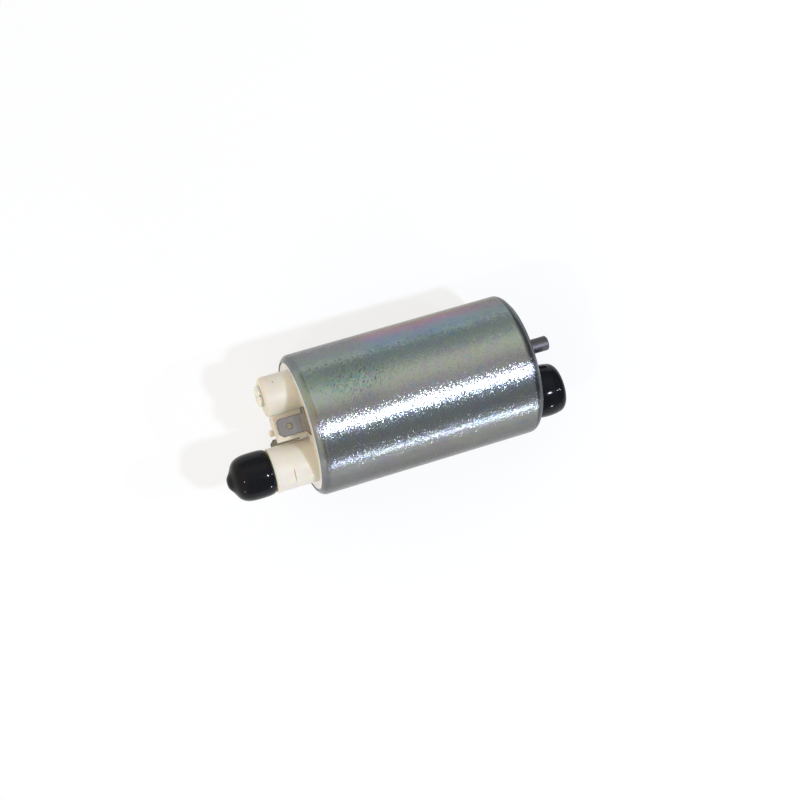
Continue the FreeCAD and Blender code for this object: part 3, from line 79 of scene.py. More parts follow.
shell_low, shell_high = box_mm("shell")
shell_radius = (shell_high.z - shell_low.z) / 2
shell_end = shell_high.x
floor_level = shell_low.z * MM
print(f"shell radius {shell_radius:.2f} mm, half length {shell_end:.2f} mm")

# %% [markdown]
# The photograph was taken from almost straight above, from 45 cm away, with a long lens. The
# camera's place and its three directions were found by fitting known circles and edges of the pump.
# A camera can be turned by three angles, but the fit gives directions, and a matrix takes them as
# they are. A camera looks along its own -Z, so the third column is the way back from the pump to
# the lens.

# %% Camera
LENS_MM = 77.44
SENSOR_MM = 36.0
CAMERA_PLACE = Vector((105.684, 0.792, 444.5)) * MM
CAMERA_RIGHT = Vector((-0.93446, 0.28307, 0.21599))
CAMERA_UP = Vector((-0.27580, -0.95914, 0.06380))

camera_data = bpy.data.cameras.new("camera")
camera_data.lens = LENS_MM
camera_data.sensor_width = SENSOR_MM
camera_data.clip_start = 0.01
camera = bpy.data.objects.new("camera", camera_data)
bpy.context.scene.collection.objects.link(camera)
right = CAMERA_RIGHT.normalized()
back = right.cross(CAMERA_UP).normalized()
up = back.cross(right)
facing = Matrix((right, up, back)).transposed().to_4x4()
camera.matrix_world = Matrix.Translation(CAMERA_PLACE) @ facing
bpy.context.scene.camera = camera
print("camera looks along", tuple(round(value, 3) for value in -back))

# %% [markdown]
# A colour is written as the hex value that a paint program shows. Shaders work with linear light,
# so one function turns the first into the second. Materials could be drawn by hand in the node
# editor. In a script, one small function adds a node, sets it up and plugs its inputs in, so a
# whole material reads like a recipe.

# %% Colour and node helpers


def linear(hex_colour):
    """An sRGB hex colour as linear red, green, blue and alpha."""
    channels = [int(hex_colour[place:place + 2], 16) / 255 for place in (1, 3, 5)]
    return [value / 12.92 if value <= 0.04045 else ((value + 0.055) / 1.055) ** 2.4
            for value in channels] + [1.0]


def add_node(tree, kind, inputs=None, **settings):
    """Add one node. An input takes a plain value or the output socket of another node."""
    node = tree.nodes.new(kind)
    for name, value in settings.items():
        setattr(node, name, value)
    for name, value in (inputs or {}).items():
        if isinstance(value, bpy.types.NodeSocket):
            tree.links.new(value, node.inputs[name])
        else:
            node.inputs[name].default_value = value
    return node


def new_material(name):
    """An empty material, its node tree and its surface socket."""
    material = bpy.data.materials.new(name)
    material.use_nodes = True
    tree = material.node_tree
    tree.nodes.clear()
    output = add_node(tree, "ShaderNodeOutputMaterial")
    return material, tree, output.inputs["Surface"]


def set_ramp(ramp_node, stops):
    """Give a colour ramp its stops, a list of (position, hex colour)."""
    ramp = ramp_node.color_ramp
    while len(ramp.elements) > 1:
        ramp.elements.remove(ramp.elements[-1])
    for index, (position, colour) in enumerate(stops):
        element = ramp.elements[0] if index == 0 else ramp.elements.new(position)
        element.position = position
        element.color = linear(colour)


print("mid grey in linear light:", round(linear("#808080")[0], 3))

# %% [markdown]
# Used parts carry small marks: a stain, a slit, a speck. They could be painted on an image, but the
# mesh would have to be unwrapped first. Here each is one soft blob placed by its centre and its
# three half lengths, so it sits at the same spot of the piece from every side.

# %% Marks


def mark(tree, place, centre, half_lengths, soft=0.5):
    """How much of a mark there is at a point: 1 inside, 0 outside. Sizes are in millimetres."""
    scale = [1 / (length * MM) for length in half_lengths]
    moved = add_node(tree, "ShaderNodeVectorMath", {0: place, 1: [value * MM for value in centre]},
                     operation="SUBTRACT")
    shaped = add_node(tree, "ShaderNodeVectorMath", {
        0: moved.outputs[0], 1: scale}, operation="MULTIPLY")
    away = add_node(tree, "ShaderNodeVectorMath", {0: shaped.outputs[0]}, operation="LENGTH")
    inside = add_node(tree, "ShaderNodeMapRange", {
        "Value": away.outputs["Value"], "From Min": 1.0, "From Max": 1.0 - soft, "To Min": 0.0,
        "To Max": 1.0})
    return inside.outputs[0]


print("a mark is a soft blob of three half lengths")

# %% [markdown]
# The shell is a drawn steel tube, zinc plated and dipped in a clear chromate passivate. The plating is a metal, so
# nearly all of its look is reflection. The passivate on it is a film about as thick as a wave of light. Where it
# varies, it shows faint rings of green, blue, pink and straw, which follow how the tube hung in the bath. The
# shader's own thin film could make such colours, but it gives no say in where each ring lies. A ramp of colours
# round the tube does. The ramps also hold painted shade: low on both sides their colours are darkened, where the
# metal mirrors paper in the pump's shadow.

# %% Colours of the film, and painted shade
# Degrees round the tube, from the top towards +Y, at the middle of the pump. From about 45 to 90 degrees on either
# side the colours are darkened as painted shade, for the shaded paper that the metal mirrors there
FILM_AND_SHADE_COLOURS = (
    (-180, "#A3ACAC"), (-150, "#9CAEA9"), (-125, "#A8A69E"), (-104, "#9C9C8C"), (-88, "#8E8F82"),
    (-80, "#716E50"), (-74, "#735C4E"), (-68, "#8A6870"), (-62, "#8D7890"), (-56, "#80889A"),
    (-48, "#7D929E"), (-42, "#99AEB2"), (-30, "#A2B0B1"), (-20, "#B0B9B1"), (-12, "#B2B7B1"),
    (-4, "#B1B4B9"), (6, "#AAACAF"), (18, "#A4B3BF"), (30, "#A2AAB0"), (43, "#A2A5A4"),
    (50, "#8C8E8C"), (58, "#808280"), (70, "#5C5D5C"), (86, "#525252"), (112, "#9CA4A1"),
    (140, "#ABA9A0"), (180, "#A3ACAC"),
)
# The film was thinner at the outlet's end, where the tube left the bath last. Low on both sides this ramp is
# darkened as painted shade too
THIN_FILM_AND_SHADE_COLOURS = (
    (-180, "#A6A9AA"), (-110, "#A0A1A0"), (-88, "#848480"), (-78, "#4E4E4E"), (-70, "#55585B"),
    (-60, "#787C80"), (-50, "#838E8E"), (-42, "#A0ADAC"), (-32, "#A4B9B3"), (-20, "#B2C1BA"),
    (-12, "#AFB8B3"), (-5, "#A5A6A9"), (8, "#A9ABAE"), (18, "#A3B0BB"), (30, "#A2A8AD"),
    (43, "#9EA1A1"), (54, "#828487"), (66, "#686969"), (82, "#525353"), (120, "#A2A4A2"),
    (180, "#A6A9AA"),
)
print("film colours:", len(FILM_AND_SHADE_COLOURS), "and", len(THIN_FILM_AND_SHADE_COLOURS))

# %% [markdown]
# The colour of the film, with the painted shade low on both sides, is read from the two ramps by the angle round
# the tube. That alone would draw ruled stripes. No bath is perfectly still, so a slow noise bends the rings and
# moves the edge between the two films.

# %% Film on the zinc
THIN_FILM_FROM_MM = 9.0
THIN_FILM_FULL_MM = 15.0
INLET_FADE_FROM_MM = 14.0
INLET_FADE_FULL_MM = 24.0
INLET_FADE = 0.6
FILM_DRIFT_MM = 16.0
# How far the drift moves a ring, as a share of a turn, and the edge of the thin film
RING_DRIFT = 0.02
EDGE_DRIFT_MM = 6.0


def zinc_film_and_shade(tree, place, axes):
    """The colour of the passivate film, with painted shade low on both sides: rings round the tube, bent and
    broken up by slow noises.
    """
    angle = add_node(tree, "ShaderNodeMath", {
        0: axes.outputs["Y"], 1: axes.outputs["Z"]}, operation="ARCTAN2")
    share = add_node(tree, "ShaderNodeMapRange", {
        "Value": angle.outputs[0], "From Min": -math.pi, "From Max": math.pi})
    drift = add_node(tree, "ShaderNodeTexNoise", {
        "Vector": place, "Scale": 1 / (FILM_DRIFT_MM * MM), "Detail": 4.0})
    shift = add_node(tree, "ShaderNodeMapRange", {
        "Value": drift.outputs["Fac"], "To Min": -RING_DRIFT, "To Max": RING_DRIFT})
    bent = add_node(tree, "ShaderNodeMath", {
        0: share.outputs[0], 1: shift.outputs[0]}, operation="ADD")
    rings = []
    for colours in (FILM_AND_SHADE_COLOURS, THIN_FILM_AND_SHADE_COLOURS):
        ring = add_node(tree, "ShaderNodeValToRGB", {"Fac": bent.outputs[0]})
        set_ramp(ring, [((degrees + 180) / 360, colour) for degrees, colour in colours])
        rings.append(ring.outputs["Color"])
    edge = add_node(tree, "ShaderNodeMapRange", {
        "Value": drift.outputs["Fac"], "To Min": -EDGE_DRIFT_MM * MM, "To Max": EDGE_DRIFT_MM * MM})
    along = add_node(tree, "ShaderNodeMath", {
        0: axes.outputs["X"], 1: edge.outputs[0]}, operation="ADD")
    outlet = add_node(tree, "ShaderNodeMapRange", {
        "Value": along.outputs[0], "From Min": THIN_FILM_FROM_MM * MM,
        "From Max": THIN_FILM_FULL_MM * MM})
    inlet = add_node(tree, "ShaderNodeMapRange", {
        "Value": along.outputs[0], "From Min": -INLET_FADE_FROM_MM * MM,
        "From Max": -INLET_FADE_FULL_MM * MM, "To Max": INLET_FADE})
    thin = add_node(tree, "ShaderNodeMath", {
        0: outlet.outputs[0], 1: inlet.outputs[0]}, operation="MAXIMUM")
    film = add_node(tree, "ShaderNodeMix", {
        "Factor": thin.outputs[0], "A": rings[0], "B": rings[1]}, data_type="RGBA")
    return film.outputs["Result"]


print("the film is thinner from", THIN_FILM_FROM_MM, "mm on")

# %% [markdown]
# A cloth left short slanted strokes in the film near the outlet, and drops dried as cloudy patches.
# Both only tint what is under them, so they are multiplied in: white leaves the film as it is.

# %% Cloth strokes and dried drops
STROKE_WIDTH_MM = 0.34
STROKE_STRETCH = 6.0
STROKE_TURN = math.radians(-40)
STROKE_HUES = ((0.34, "#BBA6C6"), (0.45, "#FFFFFF"), (0.54, "#FFFFFF"), (0.66, "#BDEDD6"))
WIPED_PLACE = (16.0, -7.5, 16.6)
WIPED_HALF = (12.0, 6.5, 5.0)
DROP_MM = 3.2
DROP_TINTS = (
    (0.3, "#E4F1FF"), (0.42, "#FFFAEC"), (0.5, "#F6FDF6"), (0.58, "#FFF0F8"), (0.7, "#EAFAFF"),
)


def wiped(tree, place, film):
    """The film with its strokes and patches."""
    slant = add_node(tree, "ShaderNodeMapping", {
        "Vector": place, "Rotation": (0, 0, STROKE_TURN),
        "Scale": (1.0, STROKE_STRETCH, 2.0)}, vector_type="TEXTURE")
    strokes = add_node(tree, "ShaderNodeTexNoise", {
        "Vector": slant.outputs[0], "Scale": 1 / (STROKE_WIDTH_MM * MM), "Detail": 1.0})
    hues = add_node(tree, "ShaderNodeValToRGB", {"Fac": strokes.outputs["Fac"]})
    set_ramp(hues, STROKE_HUES)
    here = mark(tree, place, WIPED_PLACE, WIPED_HALF, soft=0.6)
    stroked = add_node(tree, "ShaderNodeMix", {
        "Factor": here, "A": film,
        "B": hues.outputs["Color"]}, data_type="RGBA", blend_type="MULTIPLY")
    clouds = add_node(tree, "ShaderNodeTexNoise", {
        "Vector": place, "Scale": 1 / (DROP_MM * MM), "Detail": 3.0})
    patches = add_node(tree, "ShaderNodeValToRGB", {"Fac": clouds.outputs["Fac"]})
    set_ramp(patches, DROP_TINTS)
    tinted = add_node(tree, "ShaderNodeMix", {
        "Factor": 1.0, "A": stroked.outputs["Result"],
        "B": patches.outputs["Color"]}, data_type="RGBA", blend_type="MULTIPLY")
    return tinted.outputs["Result"]


print("cloth strokes", STROKE_WIDTH_MM, "mm wide")

# %% [markdown]
# Zinc grows as tiny flat crystals, each tipped its own way. Most lean a little and a few lean far,
# so beside a highlight single ones still catch the lamp, and the bright line ends in a fine
# sparkle. A bump of fine noise would only blur the highlight. So a crystal is one cell of a Voronoi
# pattern, flat and tipped as a whole, and its random colour is used as a direction.

# %% Crystals of the zinc
# The real crystals are about 0.05 mm wide, too fine for any picture, so they are drawn coarser
CRYSTAL_MM = 0.25
CRYSTAL_TILT = 0.36
CRYSTAL_RARITY = 1.5


def tilted_crystals(tree, place):
    """The surface's direction, tipped a little in each crystal. Few of them lean far."""
    crystals = add_node(tree, "ShaderNodeTexVoronoi", {
        "Vector": place, "Scale": 1 / (CRYSTAL_MM * MM)})
    centred = add_node(tree, "ShaderNodeVectorMath", {
        0: crystals.outputs["Color"], 1: (0.5, 0.5, 0.5)}, operation="SUBTRACT")
    size = add_node(tree, "ShaderNodeVectorMath", {0: centred.outputs[0]}, operation="LENGTH")
    rare = add_node(tree, "ShaderNodeMath", {
        0: size.outputs["Value"], 1: CRYSTAL_RARITY}, operation="POWER")
    lean = add_node(tree, "ShaderNodeMath", {
        0: rare.outputs[0], 1: CRYSTAL_TILT}, operation="MULTIPLY")
    tilt = add_node(tree, "ShaderNodeVectorMath", {
        0: centred.outputs[0], "Scale": lean.outputs[0]}, operation="SCALE")
    facing = add_node(tree, "ShaderNodeNewGeometry").outputs["Normal"]
    tipped = add_node(tree, "ShaderNodeVectorMath", {
        0: facing, 1: tilt.outputs[0]}, operation="ADD")
    return add_node(tree, "ShaderNodeVectorMath", {
        0: tipped.outputs[0]}, operation="NORMALIZE").outputs[0]


print("crystals", CRYSTAL_MM, "mm wide")

# %% [markdown]
# The finish is put together: the film gives the metal its colour and the crystals its sparkle. The tube was
# polished while it turned, so it is rougher along its length than round it, and a small lamp smears into a long
# bright line. Scratches in the bump could do this, but anisotropy does it without noise. The rolled ends were
# worked by a hard wheel, which left fine rings. They are also painted darker, a little at the outlet and most at
# the inlet, as painted shade: their curve mirrors paper in the pump's shadow. Where the wheel first bit, a trace
# of rust shows.

# %% Zinc plated steel
TUBE_ROUGHNESS = 0.3
TUBE_ANISOTROPY = 0.88
TURNING_MARK_MM = 0.16
TURNING_DEPTH_MM = 0.02
# The rolled ends are painted darker as painted shade, a little at the outlet and most at the inlet
ROLLED_SHADE_COLOUR = "#54575A"
ROLLED_WIDTH_MM = 2.05
ROLLED_EDGE_MM = 0.2
OUTLET_ROLLED_SHADE = 0.3
INLET_ROLLED_SHADE = 0.9
RUST_COLOUR = "#B88F70"
RUST_PLACE = (28.8, -2.6, 18.8)
RUST_HALF = (0.16, 2.2, 1.0)


def zinc_plated_steel():
    """Rolled steel tube with a clear passivate over the zinc."""
    material, tree, surface = new_material("zinc_plated_steel")
    place = add_node(tree, "ShaderNodeTexCoord").outputs["Object"]
    axes = add_node(tree, "ShaderNodeSeparateXYZ", {"Vector": place})
    film = wiped(tree, place, zinc_film_and_shade(tree, place, axes))
    end_start = (shell_end - ROLLED_WIDTH_MM) * MM
    ends = [add_node(tree, "ShaderNodeMapRange", {
        "Value": axes.outputs["X"], "From Min": side * end_start,
        "From Max": side * (end_start + ROLLED_EDGE_MM * MM), "To Max": share})
        for side, share in ((1, OUTLET_ROLLED_SHADE), (-1, INLET_ROLLED_SHADE))]
    rolled = add_node(tree, "ShaderNodeMath", {
        0: ends[0].outputs[0], 1: ends[1].outputs[0]}, operation="MAXIMUM")
    # Painted shade: the film is mixed towards dark grey on the rolled ends
    shaded_ends = add_node(tree, "ShaderNodeMix", {
        "Factor": rolled.outputs[0], "A": film, "B": linear(ROLLED_SHADE_COLOUR)}, data_type="RGBA")
    rust = mark(tree, place, RUST_PLACE, RUST_HALF)
    finish = add_node(tree, "ShaderNodeMix", {
        "Factor": rust, "A": shaded_ends.outputs["Result"], "B": linear(RUST_COLOUR)}, data_type="RGBA")
    rings = add_node(tree, "ShaderNodeTexWave", {
        "Vector": place, "Scale": 1 / (TURNING_MARK_MM * MM) / (2 * math.pi),
        "Distortion": 1.5}, bands_direction="X")
    ring_height = add_node(tree, "ShaderNodeMath", {0: rings.outputs["Fac"], 1: rolled.outputs[0]},
                           operation="MULTIPLY")
    bump = add_node(tree, "ShaderNodeBump", {
        "Height": ring_height.outputs[0], "Strength": 0.5, "Distance": TURNING_DEPTH_MM * MM,
        "Normal": tilted_crystals(tree, place)})
    around = add_node(tree, "ShaderNodeTangent", direction_type="RADIAL", axis="X")
    shader = add_node(tree, "ShaderNodeBsdfPrincipled", {
        "Base Color": finish.outputs["Result"], "Metallic": 1.0, "Roughness": TUBE_ROUGHNESS,
        "Anisotropic": TUBE_ANISOTROPY, "Anisotropic Rotation": 0.25, "Tangent": around.outputs[0],
        "Normal": bump.outputs[0]})
    tree.links.new(shader.outputs[0], surface)
    return material


plated_steel = zinc_plated_steel()
print(plated_steel.name, "has", len(plated_steel.node_tree.nodes), "nodes")

# %% [markdown]
# The outlet cover is injection moulded acetal, a milky, slightly yellow plastic with a soft shine.
# A plain matte shader would look like chalk. With subsurface scattering, light goes a little way in
# and comes out warmer, which is why the shaded side looks like cream. No moulded edge is truly
# sharp, so a bevel in the shading rounds every edge by about a fifth of a millimetre.

# %% Moulded acetal
EDGE_MM = 0.22
CLOUD_MM = 6.0
PEEL_MM = 0.35
PEEL_DEPTH_MM = 0.02
LIGHT_DEPTH_MM = 1.5
# Red light goes in the furthest
LIGHT_SPREAD = (1.0, 0.66, 0.3)
ACETAL_ROUGHNESS = 0.42
ACETAL_IOR = 1.48


def moulded_acetal(name, colour, cloud, marks=(), milky=1.0):
    """Acetal with the faint orange peel of a moulding. A mark is (centre, half lengths, colour)."""
    material, tree, surface = new_material(name)
    place = add_node(tree, "ShaderNodeTexCoord").outputs["Object"]
    clouds = add_node(tree, "ShaderNodeTexNoise", {
        "Vector": place, "Scale": 1 / (CLOUD_MM * MM), "Detail": 3.0})
    tint = add_node(tree, "ShaderNodeMix", {
        "Factor": clouds.outputs["Fac"], "A": linear(colour), "B": linear(cloud)}, data_type="RGBA")
    for centre, half_lengths, stain in marks:
        tint = add_node(tree, "ShaderNodeMix", {
            "Factor": mark(tree, place, centre, half_lengths), "A": tint.outputs["Result"],
            "B": linear(stain)}, data_type="RGBA")
    edge = add_node(tree, "ShaderNodeBevel", {"Radius": EDGE_MM * MM}, samples=6)
    peel = add_node(tree, "ShaderNodeTexNoise", {
        "Vector": place, "Scale": 1 / (PEEL_MM * MM), "Detail": 2.0})
    bump = add_node(tree, "ShaderNodeBump", {
        "Height": peel.outputs["Fac"], "Strength": 0.25, "Distance": PEEL_DEPTH_MM * MM,
        "Normal": edge.outputs[0]})
    shader = add_node(tree, "ShaderNodeBsdfPrincipled", {
        "Base Color": tint.outputs["Result"], "Roughness": ACETAL_ROUGHNESS, "IOR": ACETAL_IOR,
        "Subsurface Weight": milky, "Subsurface Radius": LIGHT_SPREAD,
        "Subsurface Scale": LIGHT_DEPTH_MM * MM, "Normal": bump.outputs[0]})
    tree.links.new(shader.outputs[0], surface)
    return material


print("light goes", LIGHT_DEPTH_MM, "mm into the plastic")

# %% [markdown]
# The cover has a fine slit in its post and two specks, and the plug of the relief valve has a speck. The slit is
# painted shade, a dark line where a fine groove holds shadow. They are given as (centre, half lengths, colour).
# The flat rim of the cover is a finish of its own: it is painted paler and less milky than the cover, as painted
# light for the extra light that it catches. The plug is painted paler than the cover too, as painted light that
# lifts the shade round it.

# %% Plastics of the cover
COVER_MARKS = (
    # The slit is painted shade: a dark line where a fine groove holds shadow
    ((36.65, 11.6, 7.3), (0.14, 2.6, 4.0), "#A98A52"),  # the slit
    ((35.7, -12.9, 8.6), (0.24, 0.24, 1.5), "#B98878"),
    ((39.0, -8.0, 7.9), (0.8, 0.24, 0.24), "#4A4238"),
)
PLUG_MARKS = (
    ((40.1, -9.4, 6.0), (1.0, 0.2, 0.2), "#4A4238"),
)
cover_acetal = moulded_acetal("moulded_acetal", "#E9E4DA", "#E4DDD0", COVER_MARKS)
# The plug is painted paler than the cover, as painted light that lifts the shade round it
plug_acetal = moulded_acetal("painted_pale_plug_acetal", "#F6F1E8", "#F1EBDF", PLUG_MARKS)
# The rim is painted paler than the cover, as painted light for the light that it catches
rim_acetal = moulded_acetal("painted_pale_rim_acetal", "#F7F5F2", "#F2EFEA", milky=0.25)
print("marks on the cover:", len(COVER_MARKS), "and on the plug:", len(PLUG_MARKS))

# %% [markdown]
# The caps are dipped vinyl: a hot mandrel goes into liquid vinyl and a soft black skin is peeled
# off. The skin is glossy and a little uneven, so lamps show on it as small broken dots. An even
# black gloss would show them as clean discs, and so a slow ripple bends it and a noise of dust
# dulls it here and there.

# %% Dipped vinyl
DUST_MM = 1.2
RIPPLE_MM = 2.4
RIPPLE_DEPTH_MM = 0.12
VINYL_ROUGHNESS = (0.07, 0.13)
VINYL_IOR = 1.52
VINYL_SHINE = 0.13


def dipped_vinyl():
    """Black, glossy and soft."""
    material, tree, surface = new_material("dipped_vinyl")
    place = add_node(tree, "ShaderNodeTexCoord").outputs["Object"]
    dust = add_node(tree, "ShaderNodeTexNoise", {
        "Vector": place, "Scale": 1 / (DUST_MM * MM), "Detail": 5.0})
    colour = add_node(tree, "ShaderNodeMix", {"Factor": dust.outputs["Fac"], "A": linear("#111215"),
                                              "B": linear("#1A1B1F")}, data_type="RGBA")
    gloss = add_node(tree, "ShaderNodeMapRange", {
        "Value": dust.outputs["Fac"], "From Min": 0.35, "From Max": 0.7,
        "To Min": VINYL_ROUGHNESS[0], "To Max": VINYL_ROUGHNESS[1]})
    ripple = add_node(tree, "ShaderNodeTexNoise", {
        "Vector": place, "Scale": 1 / (RIPPLE_MM * MM), "Detail": 1.0})
    bump = add_node(tree, "ShaderNodeBump", {"Height": ripple.outputs["Fac"], "Strength": 0.25,
                                             "Distance": RIPPLE_DEPTH_MM * MM})
    shader = add_node(tree, "ShaderNodeBsdfPrincipled", {
        "Base Color": colour.outputs["Result"], "Roughness": gloss.outputs[0], "IOR": VINYL_IOR,
        "Specular IOR Level": VINYL_SHINE, "Normal": bump.outputs[0]})
    tree.links.new(shader.outputs[0], surface)
    return material


cap_vinyl = dipped_vinyl()
print(cap_vinyl.name, "has", len(cap_vinyl.node_tree.nodes), "nodes")

# %% [markdown]
# The other metals of the pump are cast with a sandy grain, rolled into strip, drawn to wire, sintered or ground.
# They share a function that takes the colour, the grain and the roughness, and the grain is stretched along the
# direction in which the metal was worked. An edge that was sheared or cut can be painted a dark colour, as painted
# shade and a painted dark reflection along the edge. It is found by comparing the surface with itself after its
# edges are rounded off: where the two differ, there is an edge.

# %% Plain metals
STAIN_MM = 3.0
EDGE_ROUNDING_MM = 0.1
CUT_EDGE_MM = 0.4
# The likeness of the two directions from which an edge starts to be painted dark, and where it is fully so
CUT_STARTS = 0.985
CUT_FULL = 0.9
GRAIN_DEPTH_MM = 0.04


def worked_metal(name, colour, stain, roughness, grain_mm, stretch=(1, 1, 1), depth=0.3,
                 spread=0.08, edge_shade_colour=None):
    """A bare metal with a grain of its own and, if a colour is given, edges painted dark as shade where it was
    cut.
    """
    material, tree, surface = new_material(name)
    place = add_node(tree, "ShaderNodeTexCoord").outputs["Object"]
    laid = add_node(tree, "ShaderNodeMapping", {"Vector": place, "Scale": stretch})
    grain = add_node(tree, "ShaderNodeTexNoise", {
        "Vector": laid.outputs[0], "Scale": 1 / (grain_mm * MM), "Detail": 3.0})
    clouds = add_node(tree, "ShaderNodeTexNoise", {
        "Vector": place, "Scale": 1 / (STAIN_MM * MM), "Detail": 4.0})
    tint = add_node(tree, "ShaderNodeMix", {
        "Factor": clouds.outputs["Fac"], "A": linear(colour), "B": linear(stain)}, data_type="RGBA")
    wear = add_node(tree, "ShaderNodeMapRange", {
        "Value": grain.outputs["Fac"], "To Min": roughness - spread, "To Max": roughness + spread})
    edge = add_node(tree, "ShaderNodeBevel", {"Radius": EDGE_ROUNDING_MM * MM}, samples=4)
    # Painted shade: where a colour is given, sheared edges are mixed towards it
    if edge_shade_colour:
        wide_edge = add_node(tree, "ShaderNodeBevel", {"Radius": CUT_EDGE_MM * MM}, samples=8)
        flat = add_node(tree, "ShaderNodeNewGeometry").outputs["Normal"]
        same = add_node(tree, "ShaderNodeVectorMath", {
            0: flat, 1: wide_edge.outputs[0]}, operation="DOT_PRODUCT")
        cut = add_node(tree, "ShaderNodeMapRange", {
            "Value": same.outputs["Value"], "From Min": CUT_STARTS, "From Max": CUT_FULL})
        tint = add_node(tree, "ShaderNodeMix", {
            "Factor": cut.outputs[0], "A": tint.outputs["Result"],
            "B": linear(edge_shade_colour)}, data_type="RGBA")
    bump = add_node(tree, "ShaderNodeBump", {
        "Height": grain.outputs["Fac"], "Strength": depth, "Distance": GRAIN_DEPTH_MM * MM,
        "Normal": edge.outputs[0]})
    shader = add_node(tree, "ShaderNodeBsdfPrincipled", {
        "Base Color": tint.outputs["Result"], "Metallic": 1.0, "Roughness": wear.outputs[0],
        "Normal": bump.outputs[0]})
    tree.links.new(shader.outputs[0], surface)
    return material


print("stains", STAIN_MM, "mm wide on the bare metals")

# %% [markdown]
# What is left is moulded, pressed or sintered and doesn't shine like metal: dark casing plastic,
# phenolic, nylon, fibre board, ferrite, carbon and rubber. One function again, because they differ
# only in colour, roughness and the size of their grain.

# %% Plain solids
FLECK_DEPTH_MM = 0.03


def pressed_solid(name, colour, fleck, roughness, grain_mm, ior=1.5):
    """A plastic, rubber or pressed powder with flecks of a second colour."""
    material, tree, surface = new_material(name)
    place = add_node(tree, "ShaderNodeTexCoord").outputs["Object"]
    grain = add_node(tree, "ShaderNodeTexNoise", {
        "Vector": place, "Scale": 1 / (grain_mm * MM), "Detail": 4.0})
    tint = add_node(tree, "ShaderNodeMix", {
        "Factor": grain.outputs["Fac"], "A": linear(colour), "B": linear(fleck)}, data_type="RGBA")
    bump = add_node(tree, "ShaderNodeBump", {"Height": grain.outputs["Fac"], "Strength": 0.3,
                                             "Distance": FLECK_DEPTH_MM * MM})
    shader = add_node(tree, "ShaderNodeBsdfPrincipled", {
        "Base Color": tint.outputs["Result"], "Roughness": roughness, "IOR": ior,
        "Normal": bump.outputs[0]})
    tree.links.new(shader.outputs[0], surface)
    return material


print("materials so far:", len(bpy.data.materials))

# %% [markdown]
# Each finish is filed under the slot that the record names, and every piece of the frame gets the
# finish of its slot. The pieces could be dressed one by one, but then a piece that is added later
# would stay bare.

# %% Dress the frame
finishes = {
    "plated_steel": plated_steel,
    "cover_plastic": cover_acetal,
    "valve_plastic": plug_acetal,
    "cap_vinyl": cap_vinyl,
    "cast_metal": worked_metal("die_cast_alloy", "#605E60", "#6E6C6E", 0.5, 0.3, depth=0.8),
    # The tinned strip's sheared edges are painted dark, as painted shade
    "terminal_metal": worked_metal("tinned_strip", "#B2ADA8", "#A29D98", 0.18, 0.25, depth=0.12,
                                   spread=0.04, edge_shade_colour="#3C3735"),
    "spring_steel": worked_metal("spring_wire", "#A3A3A6", "#8E8E92", 0.3, 0.4, (4, 1, 1)),
    "bearing_bronze": worked_metal("sintered_bronze", "#9C6B3C", "#7E5530", 0.5, 0.15),
    "ground_steel": worked_metal("ground_steel", "#B4B5B8", "#A2A3A8", 0.18, 0.2, (8, 1, 1)),
    "core_steel": worked_metal("stacked_steel", "#5F6064", "#4B4C50", 0.45, 0.35, (6, 0.2, 0.2)),
    "copper_wire": worked_metal("enamelled_copper", "#A45A2C", "#7D3F1E", 0.28, 0.25, (1, 5, 5)),
    "casing_plastic": pressed_solid("filled_phenolic", "#1D1B19", "#2A2724", 0.5, 0.3),
    "impeller_plastic": pressed_solid("moulded_phenolic", "#2B1A12", "#3A2519", 0.45, 0.3),
    "washer_plastic": pressed_solid("natural_nylon", "#D9D0BC", "#E2DBCB", 0.4, 0.5),
    "insulator_fibre": pressed_solid("fibre_board", "#6B2A1E", "#7E3A2A", 0.75, 0.25),
    "hub_plastic": pressed_solid("black_phenolic", "#161616", "#222222", 0.45, 0.3),
    "ferrite": pressed_solid("sintered_ferrite", "#2A2828", "#363333", 0.7, 0.2),
    "carbon": pressed_solid("pressed_carbon", "#141416", "#232326", 0.55, 0.15),
    "seal_rubber": pressed_solid("nitrile_rubber", "#0E0E0E", "#181818", 0.6, 0.4),
}
for subpart in frame["record"]["subparts"]:
    piece = frame["nodes"][subpart["node"]]
    piece.data.materials.clear()
    piece.data.materials.append(finishes[subpart["material_slot"]])
print("finishes:", len(finishes))

# %% [markdown]
# The shell, the caps and the cover's rim are turned shapes: an outline in (x, radius), spun about
# the barrel's axis. Blender's Screw modifier could turn them too. A short spin in mesh code also
# closes the outline and the tips in one step. It keeps the quads in neat rings, so the highlights
# run clean along the tube. An arc is added to an outline as a few points on its circle.

# %% Turned shapes
SEGMENTS = 256
# An edge sharper than this shows as an edge
SHARP = math.radians(40)


def arc(centre, radius, start, end, steps=8):
    """Points on an arc, from one angle to another, in degrees from the X axis."""
    angles = [math.radians(start + (end - start) * step / steps) for step in range(steps + 1)]
    return [(centre[0] + radius * math.cos(angle), centre[1] + radius * math.sin(angle))
            for angle in angles]


